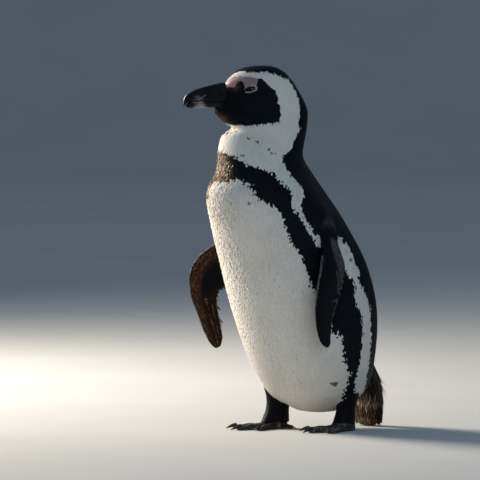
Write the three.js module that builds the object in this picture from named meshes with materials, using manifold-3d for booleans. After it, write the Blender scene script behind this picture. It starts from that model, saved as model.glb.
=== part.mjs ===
// African penguin (Spheniscus demersus), adult, standing with its head turned to its right.
// Millimetres, +Z up. The breast faces -Y, the bird's own left side is +X, the soles are at z = 0.
// Every solid is the outside of the plumage, so feather tips reach the surface and no further.

import * as THREE from "three";
import { mergeVertices } from "three/addons/utils/BufferGeometryUtils.js";
import Module from "manifold-3d";

const wasm = await Module();
wasm.setup();

// ---------- driving sizes ----------

const GAP = 0.4; // clearance left between a piece and the neighbour that cuts it
const BODY_SIDES = 34;
const BODY_RINGS = 44;
const HEAD_TURN = 40; // degrees the head is turned to the bird's right
const NECK_AXIS = -68; // Y of the upright axis that the head turns on

// Levels of the body from the vent to the crown. At each height z the level section is an egg:
// axis is the Y of its middle, front, back and half are its reach ahead, behind and to each side,
// turn is how far it is turned with the head, and snout is the power of its front half
// (2 is an ellipse, less comes to a blunter or sharper point).
const BODY_LEVELS = [
  { z: 23, axis: 36, front: 0, back: 0, half: 0, turn: 0, snout: 2 },
  { z: 27, axis: 35, front: 30, back: 32, half: 28, turn: 0, snout: 2 },
  { z: 37, axis: 33, front: 48, back: 52, half: 45, turn: 0, snout: 2 },
  { z: 55, axis: 30, front: 69, back: 74, half: 66, turn: 0, snout: 2.05 },
  { z: 102, axis: 22, front: 89.5, back: 89.5, half: 87, turn: 0, snout: 2.1 },
  { z: 170, axis: 9, front: 103, back: 102, half: 99, turn: 0, snout: 2.1 },
  { z: 232, axis: -10, front: 104, back: 102, half: 99, turn: 0, snout: 2.1 },
  { z: 295, axis: -41, front: 97, back: 95, half: 88, turn: 0, snout: 2.05 },
  { z: 335, axis: -61, front: 88, back: 85, half: 75, turn: 0, snout: 2 },
  { z: 361, axis: -66, front: 71, back: 70, half: 61, turn: 5, snout: 2 },
  { z: 383, axis: -68, front: 65, back: 57, half: 52, turn: 15, snout: 2 },
  { z: 404, axis: -68, front: 61, back: 58, half: 46, turn: 30, snout: 1.95 },
  { z: 416, axis: -68, front: 55.5, back: 60, half: 43, turn: 35, snout: 1.95 },
  { z: 424, axis: -68, front: 44, back: 61, half: 41, turn: 38, snout: 1.9 },
  { z: 434, axis: -68, front: 57.5, back: 62, half: 38.5, turn: 40, snout: 1.75 },
  { z: 448, axis: -68, front: 68, back: 62, half: 36.5, turn: 40, snout: 1.6 },
  { z: 462, axis: -68, front: 61.5, back: 57, half: 34.5, turn: 40, snout: 1.55 },
  { z: 478, axis: -68, front: 57, back: 48, half: 32.5, turn: 40, snout: 1.6 },
  { z: 492, axis: -68, front: 50, back: 39, half: 28.5, turn: 40, snout: 1.75 },
  { z: 503, axis: -68, front: 38, back: 28, half: 21, turn: 40, snout: 1.95 },
  { z: 509, axis: -68, front: 22, back: 15, half: 12, turn: 40, snout: 2 },
  { z: 511, axis: -68, front: 0, back: 0, half: 0, turn: 40, snout: 2 },
];

// The cuts that part trunk, neck and head: height of each in front of and behind the neck's axis.
const CUT_REACH = 60;
const NECK_CUT = { front: 346, back: 372, turn: 0 };
const HEAD_CUT = { front: 423, back: 398, turn: 36 };

// Tail: the same kind of levels, from the worn tips on the ground up into the rump.
const TAIL_SIDES = 20;
const TAIL_RINGS = 10;
const TAIL_LEVELS = [
  { z: 0, axis: 125, front: 3.5, back: 3, half: 17, turn: 0, snout: 2 },
  { z: 14, axis: 126, front: 6, back: 5, half: 24, turn: 0, snout: 2 },
  { z: 42, axis: 125, front: 12, back: 9, half: 30, turn: 0, snout: 2 },
  { z: 70, axis: 115, front: 22, back: 15, half: 32, turn: 0, snout: 2 },
  { z: 92, axis: 106, front: 18, back: 15, half: 28, turn: 0, snout: 2 },
  { z: 116, axis: 98, front: 12, back: 9, half: 22, turn: 0, snout: 2 },
];

// Bill, measured along the head from its axis: top ridge, mouth line, underside and half width.
const BILL_SIDES = 16;
const UPPER_BILL = [
  { along: 38, top: 484, low: 459.5, half: 11 },
  { along: 56, top: 487, low: 460.8, half: 10.5 },
  { along: 73, top: 483.5, low: 462.2, half: 8.6 },
  { along: 90, top: 478.8, low: 462.4, half: 7 },
  { along: 101, top: 474.2, low: 461.4, half: 5.8 },
  { along: 107, top: 469.8, low: 457.8, half: 4.4 },
  { along: 110, top: 464.6, low: 453.6, half: 3 },
  { along: 111.2, top: 459.8, low: 454, half: 1.3 },
];
const LOWER_BILL = [
  { along: 38, top: 458, low: 450, half: 10.4 },
  { along: 58, top: 459.8, low: 450.6, half: 9.6 },
  { along: 73, top: 461.3, low: 451.8, half: 7.8 },
  { along: 90, top: 461.5, low: 451.6, half: 6.4 },
  { along: 101, top: 460.3, low: 451.5, half: 5 },
  { along: 105.4, top: 457.7, low: 452.1, half: 3.6 },
  { along: 107.2, top: 456.1, low: 453, half: 1.8 },
];
const BILL_SQUARE = 2.5; // power of the bill's section

// The eye looks ahead and up by these angles from straight aside, and its front is flush with the
// plumage: sunk is how deep its centre lies. The opening between the lids is a half size each way.
const EYE = { along: 19.4, z: 478, radius: 11, sunk: 10.8, ahead: 18, up: 10 };
const LID_OPENING = { halfLong: 7.2, halfHigh: 4.4 };

// Flippers: centre line, chord, thickness and the way the leading edge points, from root to tip.
const FLIPPER_SIDES = 16;
const FLIPPER_RINGS = 20;
const LEFT_FLIPPER = [
  { at: [70, -24, 306], chord: 14, thick: 12, lead: [0, -1, 0.3] },
  { at: [88, -26.5, 289], chord: 20, thick: 12, lead: [0.05, -1, 0.3] },
  { at: [101.2, -31, 262], chord: 33, thick: 10.5, lead: [0.1, -1, 0.15] },
  { at: [109.4, -34.6, 231], chord: 51, thick: 9, lead: [0.15, -1, 0] },
  { at: [108.5, -43.3, 197], chord: 51.5, thick: 7.5, lead: [0.2, -1, 0] },
  { at: [107.2, -48.2, 163], chord: 40.5, thick: 6, lead: [0.27, -1, 0] },
  { at: [104.6, -43.4, 137], chord: 27, thick: 4.5, lead: [0.27, -1, 0.1] },
  { at: [102, -34.8, 123], chord: 7, thick: 2.4, lead: [0.27, -1, 0.3] },
];
const RIGHT_FLIPPER = [
  { at: [-66, -30, 272], chord: 36, thick: 16, lead: [-0.2, -0.7, 0.7] },
  { at: [-90, -38, 255], chord: 48, thick: 14, lead: [-0.3, -0.7, 0.7] },
  { at: [-111.5, -47, 234], chord: 57, thick: 11, lead: [-0.55, -0.7, 0.6] },
  { at: [-129, -56, 215.5], chord: 57, thick: 9, lead: [-0.6, -0.8, 0.4] },
  { at: [-136.5, -60.5, 193], chord: 47, thick: 7.5, lead: [-0.2, -1, 0.1] },
  { at: [-137, -56, 167], chord: 38, thick: 6, lead: [0, -1, 0] },
  { at: [-135, -47, 137], chord: 33, thick: 4.5, lead: [0.05, -1, 0.1] },
  { at: [-132.5, -43, 122], chord: 26, thick: 3.6, lead: [0.05, -1, 0.2] },
  { at: [-131, -40, 110.5], chord: 9, thick: 2.4, lead: [0.05, -1, 0.3] },
];
const FLIPPER_BLUNT = 0.3; // how much thicker the leading half is than the trailing half

// Legs and feet. Each foot is drawn toes forward (+Y in its own plan) about its ankle.
const LEG_SIDES = 14;
// A leg's level sections: reach fore and aft, half width, and how far it leans over the toes.
const LEG_PROFILE = [
  { z: 90, reach: 17, half: 15, lean: 0 },
  { z: 60, reach: 18, half: 16, lean: 0 },
  { z: 40, reach: 15.5, half: 13, lean: 0.5 },
  { z: 26, reach: 15.5, half: 12, lean: 2.5 },
  { z: 12.4, reach: 19, half: 12.5, lean: 6 },
];
const ANKLE_HEIGHT = 12;
const ANKLE = { reach: 20.5, half: 13.5, lean: 7 };
const LEFT_LEG = { ankle: [48, 45], turnOut: 4, girth: 1 };
const RIGHT_LEG = { ankle: [-46, 0], turnOut: 6, girth: 1.15 };
const TOES = [
  { name: "inner", angle: 27, length: 60, width: 12, height: 9.5 },
  { name: "middle", angle: 2, length: 71, width: 13.5, height: 10 },
  { name: "outer", angle: -23, length: 65, width: 12.5, height: 9.5 },
  { name: "hind", angle: 118, length: 22, width: 8, height: 8 },
];
const WEB = { thick: 3, reach: 0.9, scallop: 0.76 };
const CLAW = { length: 12, radius: 3.3, root: 5, lift: 0.6 };

// ---------- looks ----------

const COLOURS = {
  black: [0x17181c, 0.75],
  white: [0xe8e4da, 0.8],
  bill: [0x1d1c1d, 0.4],
  eye: [0x22140d, 0.1],
  tail: [0x2a2523, 0.75],
  foot: [0x201d1e, 0.6],
  claw: [0x151313, 0.45],
};

// ---------- helpers ----------

const radians = (degrees) => (degrees * Math.PI) / 180;

// A smooth curve through rows of numbers, spaced by their distance apart in the keys of "by".
function curveThrough(rows, by) {
  const knots = [0];
  for (let i = 1; i < rows.length; i += 1) {
    const step = Math.hypot(...by.map((key) => rows[i][key] - rows[i - 1][key]));
    knots.push(knots[i - 1] + step);
  }
  const slope = (key, i) => {
    const a = Math.max(i - 1, 0);
    const b = Math.min(i + 1, rows.length - 1);
    return (rows[b][key] - rows[a][key]) / (knots[b] - knots[a]);
  };
  return (share) => {
    const s = share * knots.at(-1);
    const last = rows.length - 2;
    const found = knots.findIndex((knot) => knot > s) - 1;
    const i = found < 0 ? last : Math.min(found, last);
    const span = knots[i + 1] - knots[i];
    const f = (s - knots[i]) / span;
    const row = {};
    for (const key of Object.keys(rows[0])) {
      const [a, b] = [rows[i][key], rows[i + 1][key]];
      const [da, db] = [slope(key, i) * span, slope(key, i + 1) * span];
      const bend = 2 * a - 2 * b + da + db;
      const rise = 3 * b - 3 * a - 2 * da - db;
      row[key] = ((bend * f + rise) * f + da) * f + a;
    }
    return row;
  };
}

// A closed mesh over rings of points, each end closed on one point.
function loft(rings, first, last) {
  const sides = rings[0].length;
  const points = [first, ...rings.flat(), last];
  const index = [];
  const at = (ring, side) => 1 + ring * sides + (side % sides);
  for (let side = 0; side < sides; side += 1) {
    index.push(0, at(0, side + 1), at(0, side));
    index.push(points.length - 1, at(rings.length - 1, side), at(rings.length - 1, side + 1));
    for (let ring = 0; ring + 1 < rings.length; ring += 1) {
      index.push(at(ring, side), at(ring, side + 1), at(ring + 1, side + 1));
      index.push(at(ring, side), at(ring + 1, side + 1), at(ring + 1, side));
    }
  }
  const geometry = new THREE.BufferGeometry().setFromPoints(points);
  geometry.setIndex(index);
  return signedVolume(geometry) < 0 ? turnedInsideOut(geometry) : geometry;
}

function signedVolume(geometry) {
  const place = geometry.getAttribute("position");
  const corner = (n) => new THREE.Vector3().fromBufferAttribute(place, geometry.index.getX(n));
  let sum = 0;
  for (let n = 0; n < geometry.index.count; n += 3) {
    sum += corner(n).dot(corner(n + 1).cross(corner(n + 2)));
  }
  return sum / 6;
}

function turnedInsideOut(geometry) {
  const index = Array.from(geometry.index.array);
  for (let n = 0; n < index.length; n += 3) {
    [index[n], index[n + 1]] = [index[n + 1], index[n]];
  }
  geometry.setIndex(index);
  return geometry;
}

const middleOf = (ring) =>
  ring.reduce((sum, point) => sum.add(point), new THREE.Vector3()).divideScalar(ring.length);

const loftCapped = (rings) => loft(rings, middleOf(rings[0]), middleOf(rings.at(-1)));

function solid(geometry) {
  const bare = geometry.clone();
  bare.deleteAttribute("normal");
  bare.deleteAttribute("uv");
  const merged = mergeVertices(bare, 1e-4);
  return new wasm.Manifold(
    new wasm.Mesh({
      numProp: 3,
      vertProperties: new Float32Array(merged.getAttribute("position").array),
      triVerts: new Uint32Array(merged.index.array),
    }),
  );
}

function shapeOf(manifold) {
  const mesh = manifold.getMesh();
  const geometry = new THREE.BufferGeometry();
  geometry.setAttribute("position", new THREE.BufferAttribute(mesh.vertProperties, 3));
  geometry.setIndex(new THREE.BufferAttribute(mesh.triVerts, 1));
  geometry.computeVertexNormals();
  return geometry;
}

// A block with one face on the plane through point, filling the side that normal points to.
function halfSpace(point, normal) {
  const size = 900;
  const block = new THREE.BoxGeometry(size, size, size).translate(0, 0, size / 2);
  const up = new THREE.Vector3(0, 0, 1);
  block.applyQuaternion(new THREE.Quaternion().setFromUnitVectors(up, normal));
  return solid(block.translate(point.x, point.y, point.z));
}

// ---------- body, neck, head and tail ----------

// One point of a level section. The angle runs from straight ahead round by the bird's left.
function sectionPoint(row, angle, grow) {
  const power = Math.cos(angle) > 0 ? row.snout : 2;
  const bulge = (share) => Math.sign(share) * Math.abs(share) ** (2 / power);
  const reach = Math.cos(angle) > 0 ? row.front + grow : row.back + grow;
  const ahead = reach * bulge(Math.cos(angle));
  const aside = (row.half + grow) * bulge(Math.sin(angle));
  const turn = radians(row.turn);
  return new THREE.Vector3(
    aside * Math.cos(turn) - ahead * Math.sin(turn),
    row.axis - ahead * Math.cos(turn) - aside * Math.sin(turn),
    row.z,
  );
}

// The stack of level sections as one closed form, swollen by grow on every side.
function column(levels, sides, ringCount, grow = 0) {
  const curve = curveThrough(levels, ["z", "front", "half"]);
  const rings = [];
  for (let ring = 0; ring <= ringCount; ring += 1) {
    const row = curve(ring / ringCount);
    if (row.half > 1) {
      rings.push(
        Array.from({ length: sides }, (_, side) =>
          sectionPoint(row, (side / sides) * 2 * Math.PI, grow),
        ),
      );
    }
  }
  const closing = (level, way) => {
    const pole = level.half === 0;
    return new THREE.Vector3(0, level.axis, level.z + (pole ? way * grow : 0));
  };
  return loft(rings, closing(levels[0], -1), closing(levels.at(-1), 1));
}

const bodyForm = (grow = 0) => solid(column(BODY_LEVELS, BODY_SIDES, BODY_RINGS, grow));

// The plane of a cut, raised by lift, as a point and an upward normal.
function cutPlane(cut, lift = 0) {
  const turn = radians(cut.turn);
  const ahead = new THREE.Vector3(-Math.sin(turn), -Math.cos(turn), 0);
  const rise = new THREE.Vector3().copy(ahead).multiplyScalar(2 * CUT_REACH);
  rise.z = cut.front - cut.back;
  const aside = new THREE.Vector3(Math.cos(turn), -Math.sin(turn), 0);
  const normal = new THREE.Vector3().crossVectors(rise, aside).normalize();
  normal.multiplyScalar(Math.sign(normal.z));
  return [new THREE.Vector3(0, NECK_AXIS, (cut.front + cut.back) / 2 + lift), normal];
}

const above = (cut) => halfSpace(...cutPlane(cut, GAP));

function below(cut) {
  const [point, normal] = cutPlane(cut);
  return halfSpace(point, normal.negate());
}

const trunk = () => bodyForm().intersect(below(NECK_CUT));

const neck = () => bodyForm().intersect(above(NECK_CUT)).intersect(below(HEAD_CUT));

const tail = () =>
  solid(column(TAIL_LEVELS, TAIL_SIDES, TAIL_RINGS)).subtract(bodyForm(GAP));

// A point given along the head, aside to its left and up, in the bird's own frame.
function headPoint(along, aside, z) {
  const turn = radians(HEAD_TURN);
  return new THREE.Vector3(
    aside * Math.cos(turn) - along * Math.sin(turn),
    NECK_AXIS - along * Math.cos(turn) - aside * Math.sin(turn),
    z,
  );
}

// ---------- eyes ----------

// Half width of the head at the eye's height, that far along.
function headSurface(along, z) {
  const level = BODY_LEVELS.find((row) => row.z === z);
  return level.half * (1 - (along / level.front) ** level.snout) ** (1 / level.snout);
}

// The middle of an eye's opening on the head's surface, and the way the eye looks.
function gaze(side) {
  const [ahead, up] = [radians(EYE.ahead), radians(EYE.up)];
  const origin = headPoint(0, 0, 0);
  const way = headPoint(
    Math.sin(ahead) * Math.cos(up),
    side * Math.cos(ahead) * Math.cos(up),
    Math.sin(up),
  ).sub(origin);
  return [headPoint(EYE.along, side * headSurface(EYE.along, EYE.z), EYE.z), way];
}

function eyeball(side, grow = 0) {
  const [surface, way] = gaze(side);
  const centre = surface.addScaledVector(way, -EYE.sunk);
  const ball = new THREE.SphereGeometry(EYE.radius + grow, 14, 9);
  return solid(ball.translate(centre.x, centre.y, centre.z));
}

// The opening between the lids: a short oval shaft from the eye out through the plumage.
function lidOpening(side) {
  const [surface, way] = gaze(side);
  const shaft = new THREE.CylinderGeometry(1, 1, 1, 20);
  shaft.scale(LID_OPENING.halfHigh, 2 * EYE.sunk, LID_OPENING.halfLong).rotateZ(-Math.PI / 2);
  const aside = new THREE.Vector3().crossVectors(new THREE.Vector3(0, 0, 1), way).normalize();
  const above = new THREE.Vector3().crossVectors(way, aside);
  shaft.applyMatrix4(new THREE.Matrix4().makeBasis(way, above, aside.negate()));
  return solid(shaft.translate(surface.x, surface.y, surface.z));
}

function head() {
  let form = bodyForm().intersect(above(HEAD_CUT));
  for (const side of [-1, 1]) {
    form = form.subtract(eyeball(side, GAP)).subtract(lidOpening(side));
  }
  return form;
}

// ---------- bill ----------

// Half of the bill: a domed half (dome 1 above, -1 below) on the flat of the mouth line.
function mandible(stations, dome) {
  const rings = stations.map(({ along, top, low, half }) => {
    const base = dome > 0 ? low : top;
    const height = dome * (top - low);
    const ring = [];
    const domed = BILL_SIDES * 0.75;
    for (let n = 0; n <= domed; n += 1) {
      const angle = (n / domed) * Math.PI;
      const across = Math.sign(Math.cos(angle)) * Math.abs(Math.cos(angle)) ** (2 / BILL_SQUARE);
      const up = Math.sin(angle) ** (2 / BILL_SQUARE);
      ring.push(headPoint(along, half * across, base + height * up));
    }
    const flat = BILL_SIDES - domed;
    for (let n = 1; n < flat; n += 1) {
      ring.push(headPoint(along, half * (2 * (n / flat) - 1), base));
    }
    return ring;
  });
  return solid(loftCapped(rings)).subtract(bodyForm(GAP));
}

// ---------- flippers ----------

function flipper(stations) {
  const rows = stations.map(({ at, chord, thick, lead }) => ({
    x: at[0],
    y: at[1],
    z: at[2],
    chord,
    thick,
    leadX: lead[0],
    leadY: lead[1],
    leadZ: lead[2],
  }));
  const curve = curveThrough(rows, ["x", "y", "z"]);
  const place = (share) => {
    const { x, y, z } = curve(THREE.MathUtils.clamp(share, 0, 1));
    return new THREE.Vector3(x, y, z);
  };
  const rings = [];
  for (let n = 0; n <= FLIPPER_RINGS; n += 1) {
    const share = n / FLIPPER_RINGS;
    const { chord, thick, leadX, leadY, leadZ } = curve(share);
    const along = place(share + 0.01).sub(place(share - 0.01)).normalize();
    const lead = new THREE.Vector3(leadX, leadY, leadZ);
    lead.addScaledVector(along, -lead.dot(along)).normalize();
    const face = new THREE.Vector3().crossVectors(along, lead);
    rings.push(
      Array.from({ length: FLIPPER_SIDES }, (_, side) => {
        const angle = (side / FLIPPER_SIDES) * 2 * Math.PI;
        const blunt = 1 + FLIPPER_BLUNT * Math.cos(angle);
        return place(share)
          .addScaledVector(lead, (chord / 2) * Math.cos(angle))
          .addScaledVector(face, (thick / 2) * Math.sin(angle) * blunt);
      }),
    );
  }
  return solid(loftCapped(rings)).subtract(bodyForm(GAP));
}

// ---------- legs and feet ----------

// Oval level rings drawn in the foot's plan, closed into a form.
function ovalStack(levels) {
  const rings = levels.map(({ z, reach, half, lean }) =>
    Array.from({ length: LEG_SIDES }, (_, side) => {
      const angle = (side / LEG_SIDES) * 2 * Math.PI;
      return new THREE.Vector3(half * Math.cos(angle), lean + reach * Math.sin(angle), z);
    }),
  );
  return solid(loftCapped(rings));
}

function leg(place, side) {
  const levels = LEG_PROFILE.map((level) => ({
    ...level,
    reach: level.reach * place.girth,
    half: level.half * place.girth,
  }));
  return planted(ovalStack(levels), place, side).subtract(bodyForm(GAP));
}

// A toe lying flat on the ground from under the ankle to its tip, in the foot's own plan.
function toeForm({ angle, length, width, height }, grow = 0) {
  const stations = 8;
  const sides = 10;
  const rings = [];
  for (let n = 0; n < stations; n += 1) {
    const share = n / (stations - 1);
    const round = Math.sqrt(Math.max(1 - Math.max(share - 0.8, 0) ** 2 / 0.05, 0.12));
    const knuckle = 1 + 0.07 * Math.cos(share * 6 * Math.PI);
    const halfWide = (width / 2) * (1.15 - 0.3 * share) * round * knuckle + grow;
    const high = height * (1.08 - 0.43 * share) * Math.sqrt(round) * knuckle + grow;
    rings.push(
      Array.from({ length: sides }, (_, side) => {
        const turn = (side / sides) * 2 * Math.PI;
        const z = Math.max(Math.sin(turn), -0.35);
        const up = ((z + 0.35) / 1.35) * high - (z <= -0.35 ? grow : 0);
        return new THREE.Vector3(halfWide * Math.cos(turn), share * (length + grow), up);
      }),
    );
  }
  const form = loftCapped(rings).rotateZ(radians(angle));
  return solid(form);
}

const tipOf = ({ angle, length }, reach = 1) =>
  new THREE.Vector2(0, length * reach).rotateAround(new THREE.Vector2(), radians(angle));

// The webs: a thin plate between the three front toes with a hollow edge between their tips.
function webForm() {
  const outline = new THREE.Shape();
  outline.moveTo(0, 0);
  const [first, ...others] = TOES.filter(({ name }) => name !== "hind");
  const start = tipOf(first, WEB.reach);
  outline.lineTo(start.x, start.y);
  let previous = first;
  for (const toe of others) {
    const tip = tipOf(toe, WEB.reach);
    const hollow = tipOf(previous, WEB.scallop).add(tipOf(toe, WEB.scallop)).divideScalar(2);
    outline.quadraticCurveTo(hollow.x, hollow.y, tip.x, tip.y);
    previous = toe;
  }
  outline.closePath();
  const plate = { depth: WEB.thick, bevelEnabled: false, curveSegments: 6 };
  return solid(new THREE.ExtrudeGeometry(outline, plate));
}

const ankleForm = () => ovalStack([0, ANKLE_HEIGHT].map((z) => ({ ...ANKLE, z })));

// Sets a form drawn in the foot's plan onto the ground, mirrored for the right foot.
function planted(form, { ankle: [x, y], turnOut }, side) {
  const heading = 180 + side * turnOut;
  return form
    .scale([-side, 1, 1])
    .rotate([0, 0, heading])
    .translate([x, y, 0]);
}

function foot(place, side) {
  let form = ankleForm().add(webForm());
  for (const toe of TOES) {
    form = form.add(toeForm(toe));
  }
  return planted(form, place, side);
}

function claw(toe, place, side) {
  const { length, radius, root, lift } = CLAW;
  const size = toe.width / TOES[1].width;
  const steps = 4;
  const sides = 7;
  const rings = [];
  for (let n = 0; n < steps; n += 1) {
    const share = n / (steps - 1);
    const girth = radius * size * (1 - 0.85 * share ** 1.6);
    const height = girth + lift + 1.6 * size * Math.sin((0.25 + 0.75 * share) * Math.PI);
    const ahead = toe.length - root + (length + root) * size * share;
    rings.push(
      Array.from({ length: sides }, (_, corner) => {
        const angle = (corner / sides) * 2 * Math.PI;
        return new THREE.Vector3(
          girth * 0.85 * Math.cos(angle),
          ahead,
          height + girth * Math.sin(angle),
        );
      }),
    );
  }
  const form = solid(loftCapped(rings).rotateZ(radians(toe.angle)));
  return planted(form.subtract(toeForm(toe, GAP)), place, side);
}

// ---------- assembly ----------

const bird = new THREE.Group();

function add(name, form, look) {
  const [color, roughness] = COLOURS[look];
  const material = new THREE.MeshStandardMaterial({ color, roughness, metalness: 0 });
  const mesh = new THREE.Mesh(shapeOf(form), material);
  mesh.name = name;
  bird.add(mesh);
}

add("head", head(), "black");
add("neck", neck(), "white");
add("trunk", trunk(), "white");
add("tail", tail(), "tail");
add("bill_upper", mandible(UPPER_BILL, 1), "bill");
add("bill_lower", mandible(LOWER_BILL, -1), "bill");
add("flipper_left", flipper(LEFT_FLIPPER), "black");
add("flipper_right", flipper(RIGHT_FLIPPER), "black");

for (const [name, side, place] of [["left", 1, LEFT_LEG], ["right", -1, RIGHT_LEG]]) {
  add(`eye_${name}`, eyeball(side), "eye");
  add(`leg_${name}`, leg(place, side), "black");
  add(`foot_${name}`, foot(place, side), "foot");
  for (const toe of TOES) {
    add(`claw_${name}_${toe.name}`, claw(toe, place, side), "claw");
  }
}

// The origin is the middle of the bird's footprint box, on the ground.
const box = new THREE.Box3().setFromObject(bird);
bird.position.set(-(box.min.x + box.max.x) / 2, -(box.min.y + box.max.y) / 2, -box.min.z);

export default bird;
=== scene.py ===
"""An adult African penguin standing with its head turned, feathered over one skin.

Laid out as a Blender add-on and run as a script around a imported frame. Lengths in the tables are
millimetres in the bird's own drawing: breast towards -Y, the bird's left at +X, soles at z = 0.
Blender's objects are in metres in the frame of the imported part.
"""

import functools
import math

import bpy
import numpy as np
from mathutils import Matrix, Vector
from mathutils.bvhtree import BVHTree


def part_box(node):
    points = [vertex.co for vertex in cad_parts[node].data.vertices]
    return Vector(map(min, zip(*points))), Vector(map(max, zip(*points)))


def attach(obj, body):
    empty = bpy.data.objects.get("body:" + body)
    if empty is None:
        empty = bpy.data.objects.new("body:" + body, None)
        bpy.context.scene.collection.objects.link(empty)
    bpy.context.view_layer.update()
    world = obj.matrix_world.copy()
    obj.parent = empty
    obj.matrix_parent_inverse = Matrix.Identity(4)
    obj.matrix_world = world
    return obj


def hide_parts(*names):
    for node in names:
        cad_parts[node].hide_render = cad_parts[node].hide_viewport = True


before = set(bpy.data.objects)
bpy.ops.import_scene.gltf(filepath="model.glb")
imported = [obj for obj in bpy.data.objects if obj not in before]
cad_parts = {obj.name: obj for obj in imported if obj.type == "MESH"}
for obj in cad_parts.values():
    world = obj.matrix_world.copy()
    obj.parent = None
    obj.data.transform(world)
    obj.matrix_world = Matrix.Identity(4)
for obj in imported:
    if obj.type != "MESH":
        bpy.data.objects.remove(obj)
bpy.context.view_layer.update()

bl_info = {
    "name": "Standing Penguin",
    "version": (1, 0, 0),
    "blender": (4, 5, 0),
    "location": "View3D > Sidebar > Penguin",
    "description": "Skin, feathers, bill, eyes, claws and stage of a life-size penguin",
    "category": "Add Mesh",
}

MM = 0.001
FULL_TURN = 2 * math.pi
UP = np.array([0.0, 0.0, 1.0])

# ---------- the bird's form, as its solids have it ----------

HEAD_TURN = math.radians(40)
NECK_AXIS = -68.0
HEAD_AHEAD = np.array([-math.sin(HEAD_TURN), -math.cos(HEAD_TURN), 0.0])
HEAD_ASIDE = np.array([math.cos(HEAD_TURN), -math.sin(HEAD_TURN), 0.0])

# Level sections: height, Y of the middle, reach ahead, behind and aside, turn, power of the front.
Z, AXIS, FRONT, BACK, HALF, TURN, SNOUT = range(7)
BODY_LEVELS = [
    (23, 36, 0, 0, 0, 0, 2),
    (27, 35, 30, 32, 28, 0, 2),
    (37, 33, 48, 52, 45, 0, 2),
    (55, 30, 69, 74, 66, 0, 2.05),
    (102, 22, 89.5, 89.5, 87, 0, 2.1),
    (170, 9, 103, 102, 99, 0, 2.1),
    (232, -10, 104, 102, 99, 0, 2.1),
    (295, -41, 97, 95, 88, 0, 2.05),
    (335, -61, 88, 85, 75, 0, 2),
    (361, -66, 71, 70, 61, 5, 2),
    (383, -68, 65, 57, 52, 15, 2),
    (404, -68, 61, 58, 46, 30, 1.95),
    (416, -68, 55.5, 60, 43, 35, 1.95),
    (424, -68, 44, 61, 41, 38, 1.9),
    (434, -68, 57.5, 62, 38.5, 40, 1.75),
    (448, -68, 68, 62, 36.5, 40, 1.6),
    (462, -68, 61.5, 57, 34.5, 40, 1.55),
    (478, -68, 57, 48, 32.5, 40, 1.6),
    (492, -68, 50, 39, 28.5, 40, 1.75),
    (503, -68, 38, 28, 21, 40, 1.95),
    (509, -68, 22, 15, 12, 40, 2),
    (511, -68, 0, 0, 0, 40, 2),
]
TAIL_LEVELS = [
    (0, 125, 3.5, 3, 17, 0, 2),
    (14, 126, 6, 5, 24, 0, 2),
    (42, 125, 12, 9, 30, 0, 2),
    (70, 115, 22, 15, 32, 0, 2),
    (92, 106, 18, 15, 28, 0, 2),
    (116, 98, 12, 9, 22, 0, 2),
]

# Bill stations: distance along the head, top, underside and half width.
UPPER_BILL = [
    (38, 484, 459.5, 11),
    (56, 487, 460.8, 10.5),
    (73, 483.5, 462.2, 8.6),
    (90, 478.8, 462.4, 7),
    (101, 474.2, 461.4, 5.8),
    (107, 469.8, 457.8, 4.4),
    (110, 464.6, 453.6, 3),
    (111.2, 459.8, 454, 1.3),
]
LOWER_BILL = [
    (38, 458, 450, 10.4),
    (58, 459.8, 450.6, 9.6),
    (73, 461.3, 451.8, 7.8),
    (90, 461.5, 451.6, 6.4),
    (101, 460.3, 451.5, 5),
    (105.4, 457.7, 452.1, 3.6),
    (107.2, 456.1, 453, 1.8),
]
BILL_SQUARE = 2.5
MOUTH_CROWN = 1.1

EYE_ALONG, EYE_Z, EYE_RADIUS, EYE_SUNK = 19.4, 478.0, 11.0, 10.8
EYE_AHEAD, EYE_UP = math.radians(18), math.radians(10)
LID_LONG, LID_OVER, LID_UNDER = 7.9, 3.7, 3.9
LID_AHEAD, LID_UP, LID_TILT = -0.8, 0.6, math.radians(9)

# Flipper stations: middle, chord, thickness and the way the leading edge points.
LEFT_FLIPPER = [
    (70, -24, 306, 14, 12, 0, -1, 0.3),
    (88, -26.5, 289, 20, 12, 0.05, -1, 0.3),
    (101.2, -31, 262, 33, 10.5, 0.1, -1, 0.15),
    (109.4, -34.6, 231, 51, 9, 0.15, -1, 0),
    (108.5, -43.3, 197, 51.5, 7.5, 0.2, -1, 0),
    (107.2, -48.2, 163, 40.5, 6, 0.27, -1, 0),
    (104.6, -43.4, 137, 27, 4.5, 0.27, -1, 0.1),
    (102, -34.8, 123, 7, 2.4, 0.27, -1, 0.3),
]
RIGHT_FLIPPER = [
    (-66, -30, 272, 36, 16, -0.2, -0.7, 0.7),
    (-90, -38, 255, 48, 14, -0.3, -0.7, 0.7),
    (-111.5, -47, 234, 57, 11, -0.55, -0.7, 0.6),
    (-129, -56, 215.5, 57, 9, -0.6, -0.8, 0.4),
    (-136.5, -60.5, 193, 47, 7.5, -0.2, -1, 0.1),
    (-137, -56, 167, 38, 6, 0, -1, 0),
    (-135, -47, 137, 33, 4.5, 0.05, -1, 0.1),
    (-132.5, -43, 122, 26, 3.6, 0.05, -1, 0.2),
    (-131, -40, 110.5, 9, 2.4, 0.05, -1, 0.3),
]
FLIPPER_BLUNT = 0.3
# Marks outside a flipper: (towards the leading edge, towards the tip), in millimetres.
# The slate field is partly painted sheen, and the lines are partly painted glints.
SLATE_FIELD = [(12, 52), (-4, 87), (-17, 113), (-20, 103), (-26, 92), (-26, 40), (12, 40)]
SLATE_LINES = [(0.9, [(-4, 87), (-17, 113), (-21, 102)]), (1.1, [(-9, 129), (-23, 124)])]
MARKS_HALF, MARKS_LENGTH = 23, 200  # half width and length of the flipper for those marks
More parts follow.
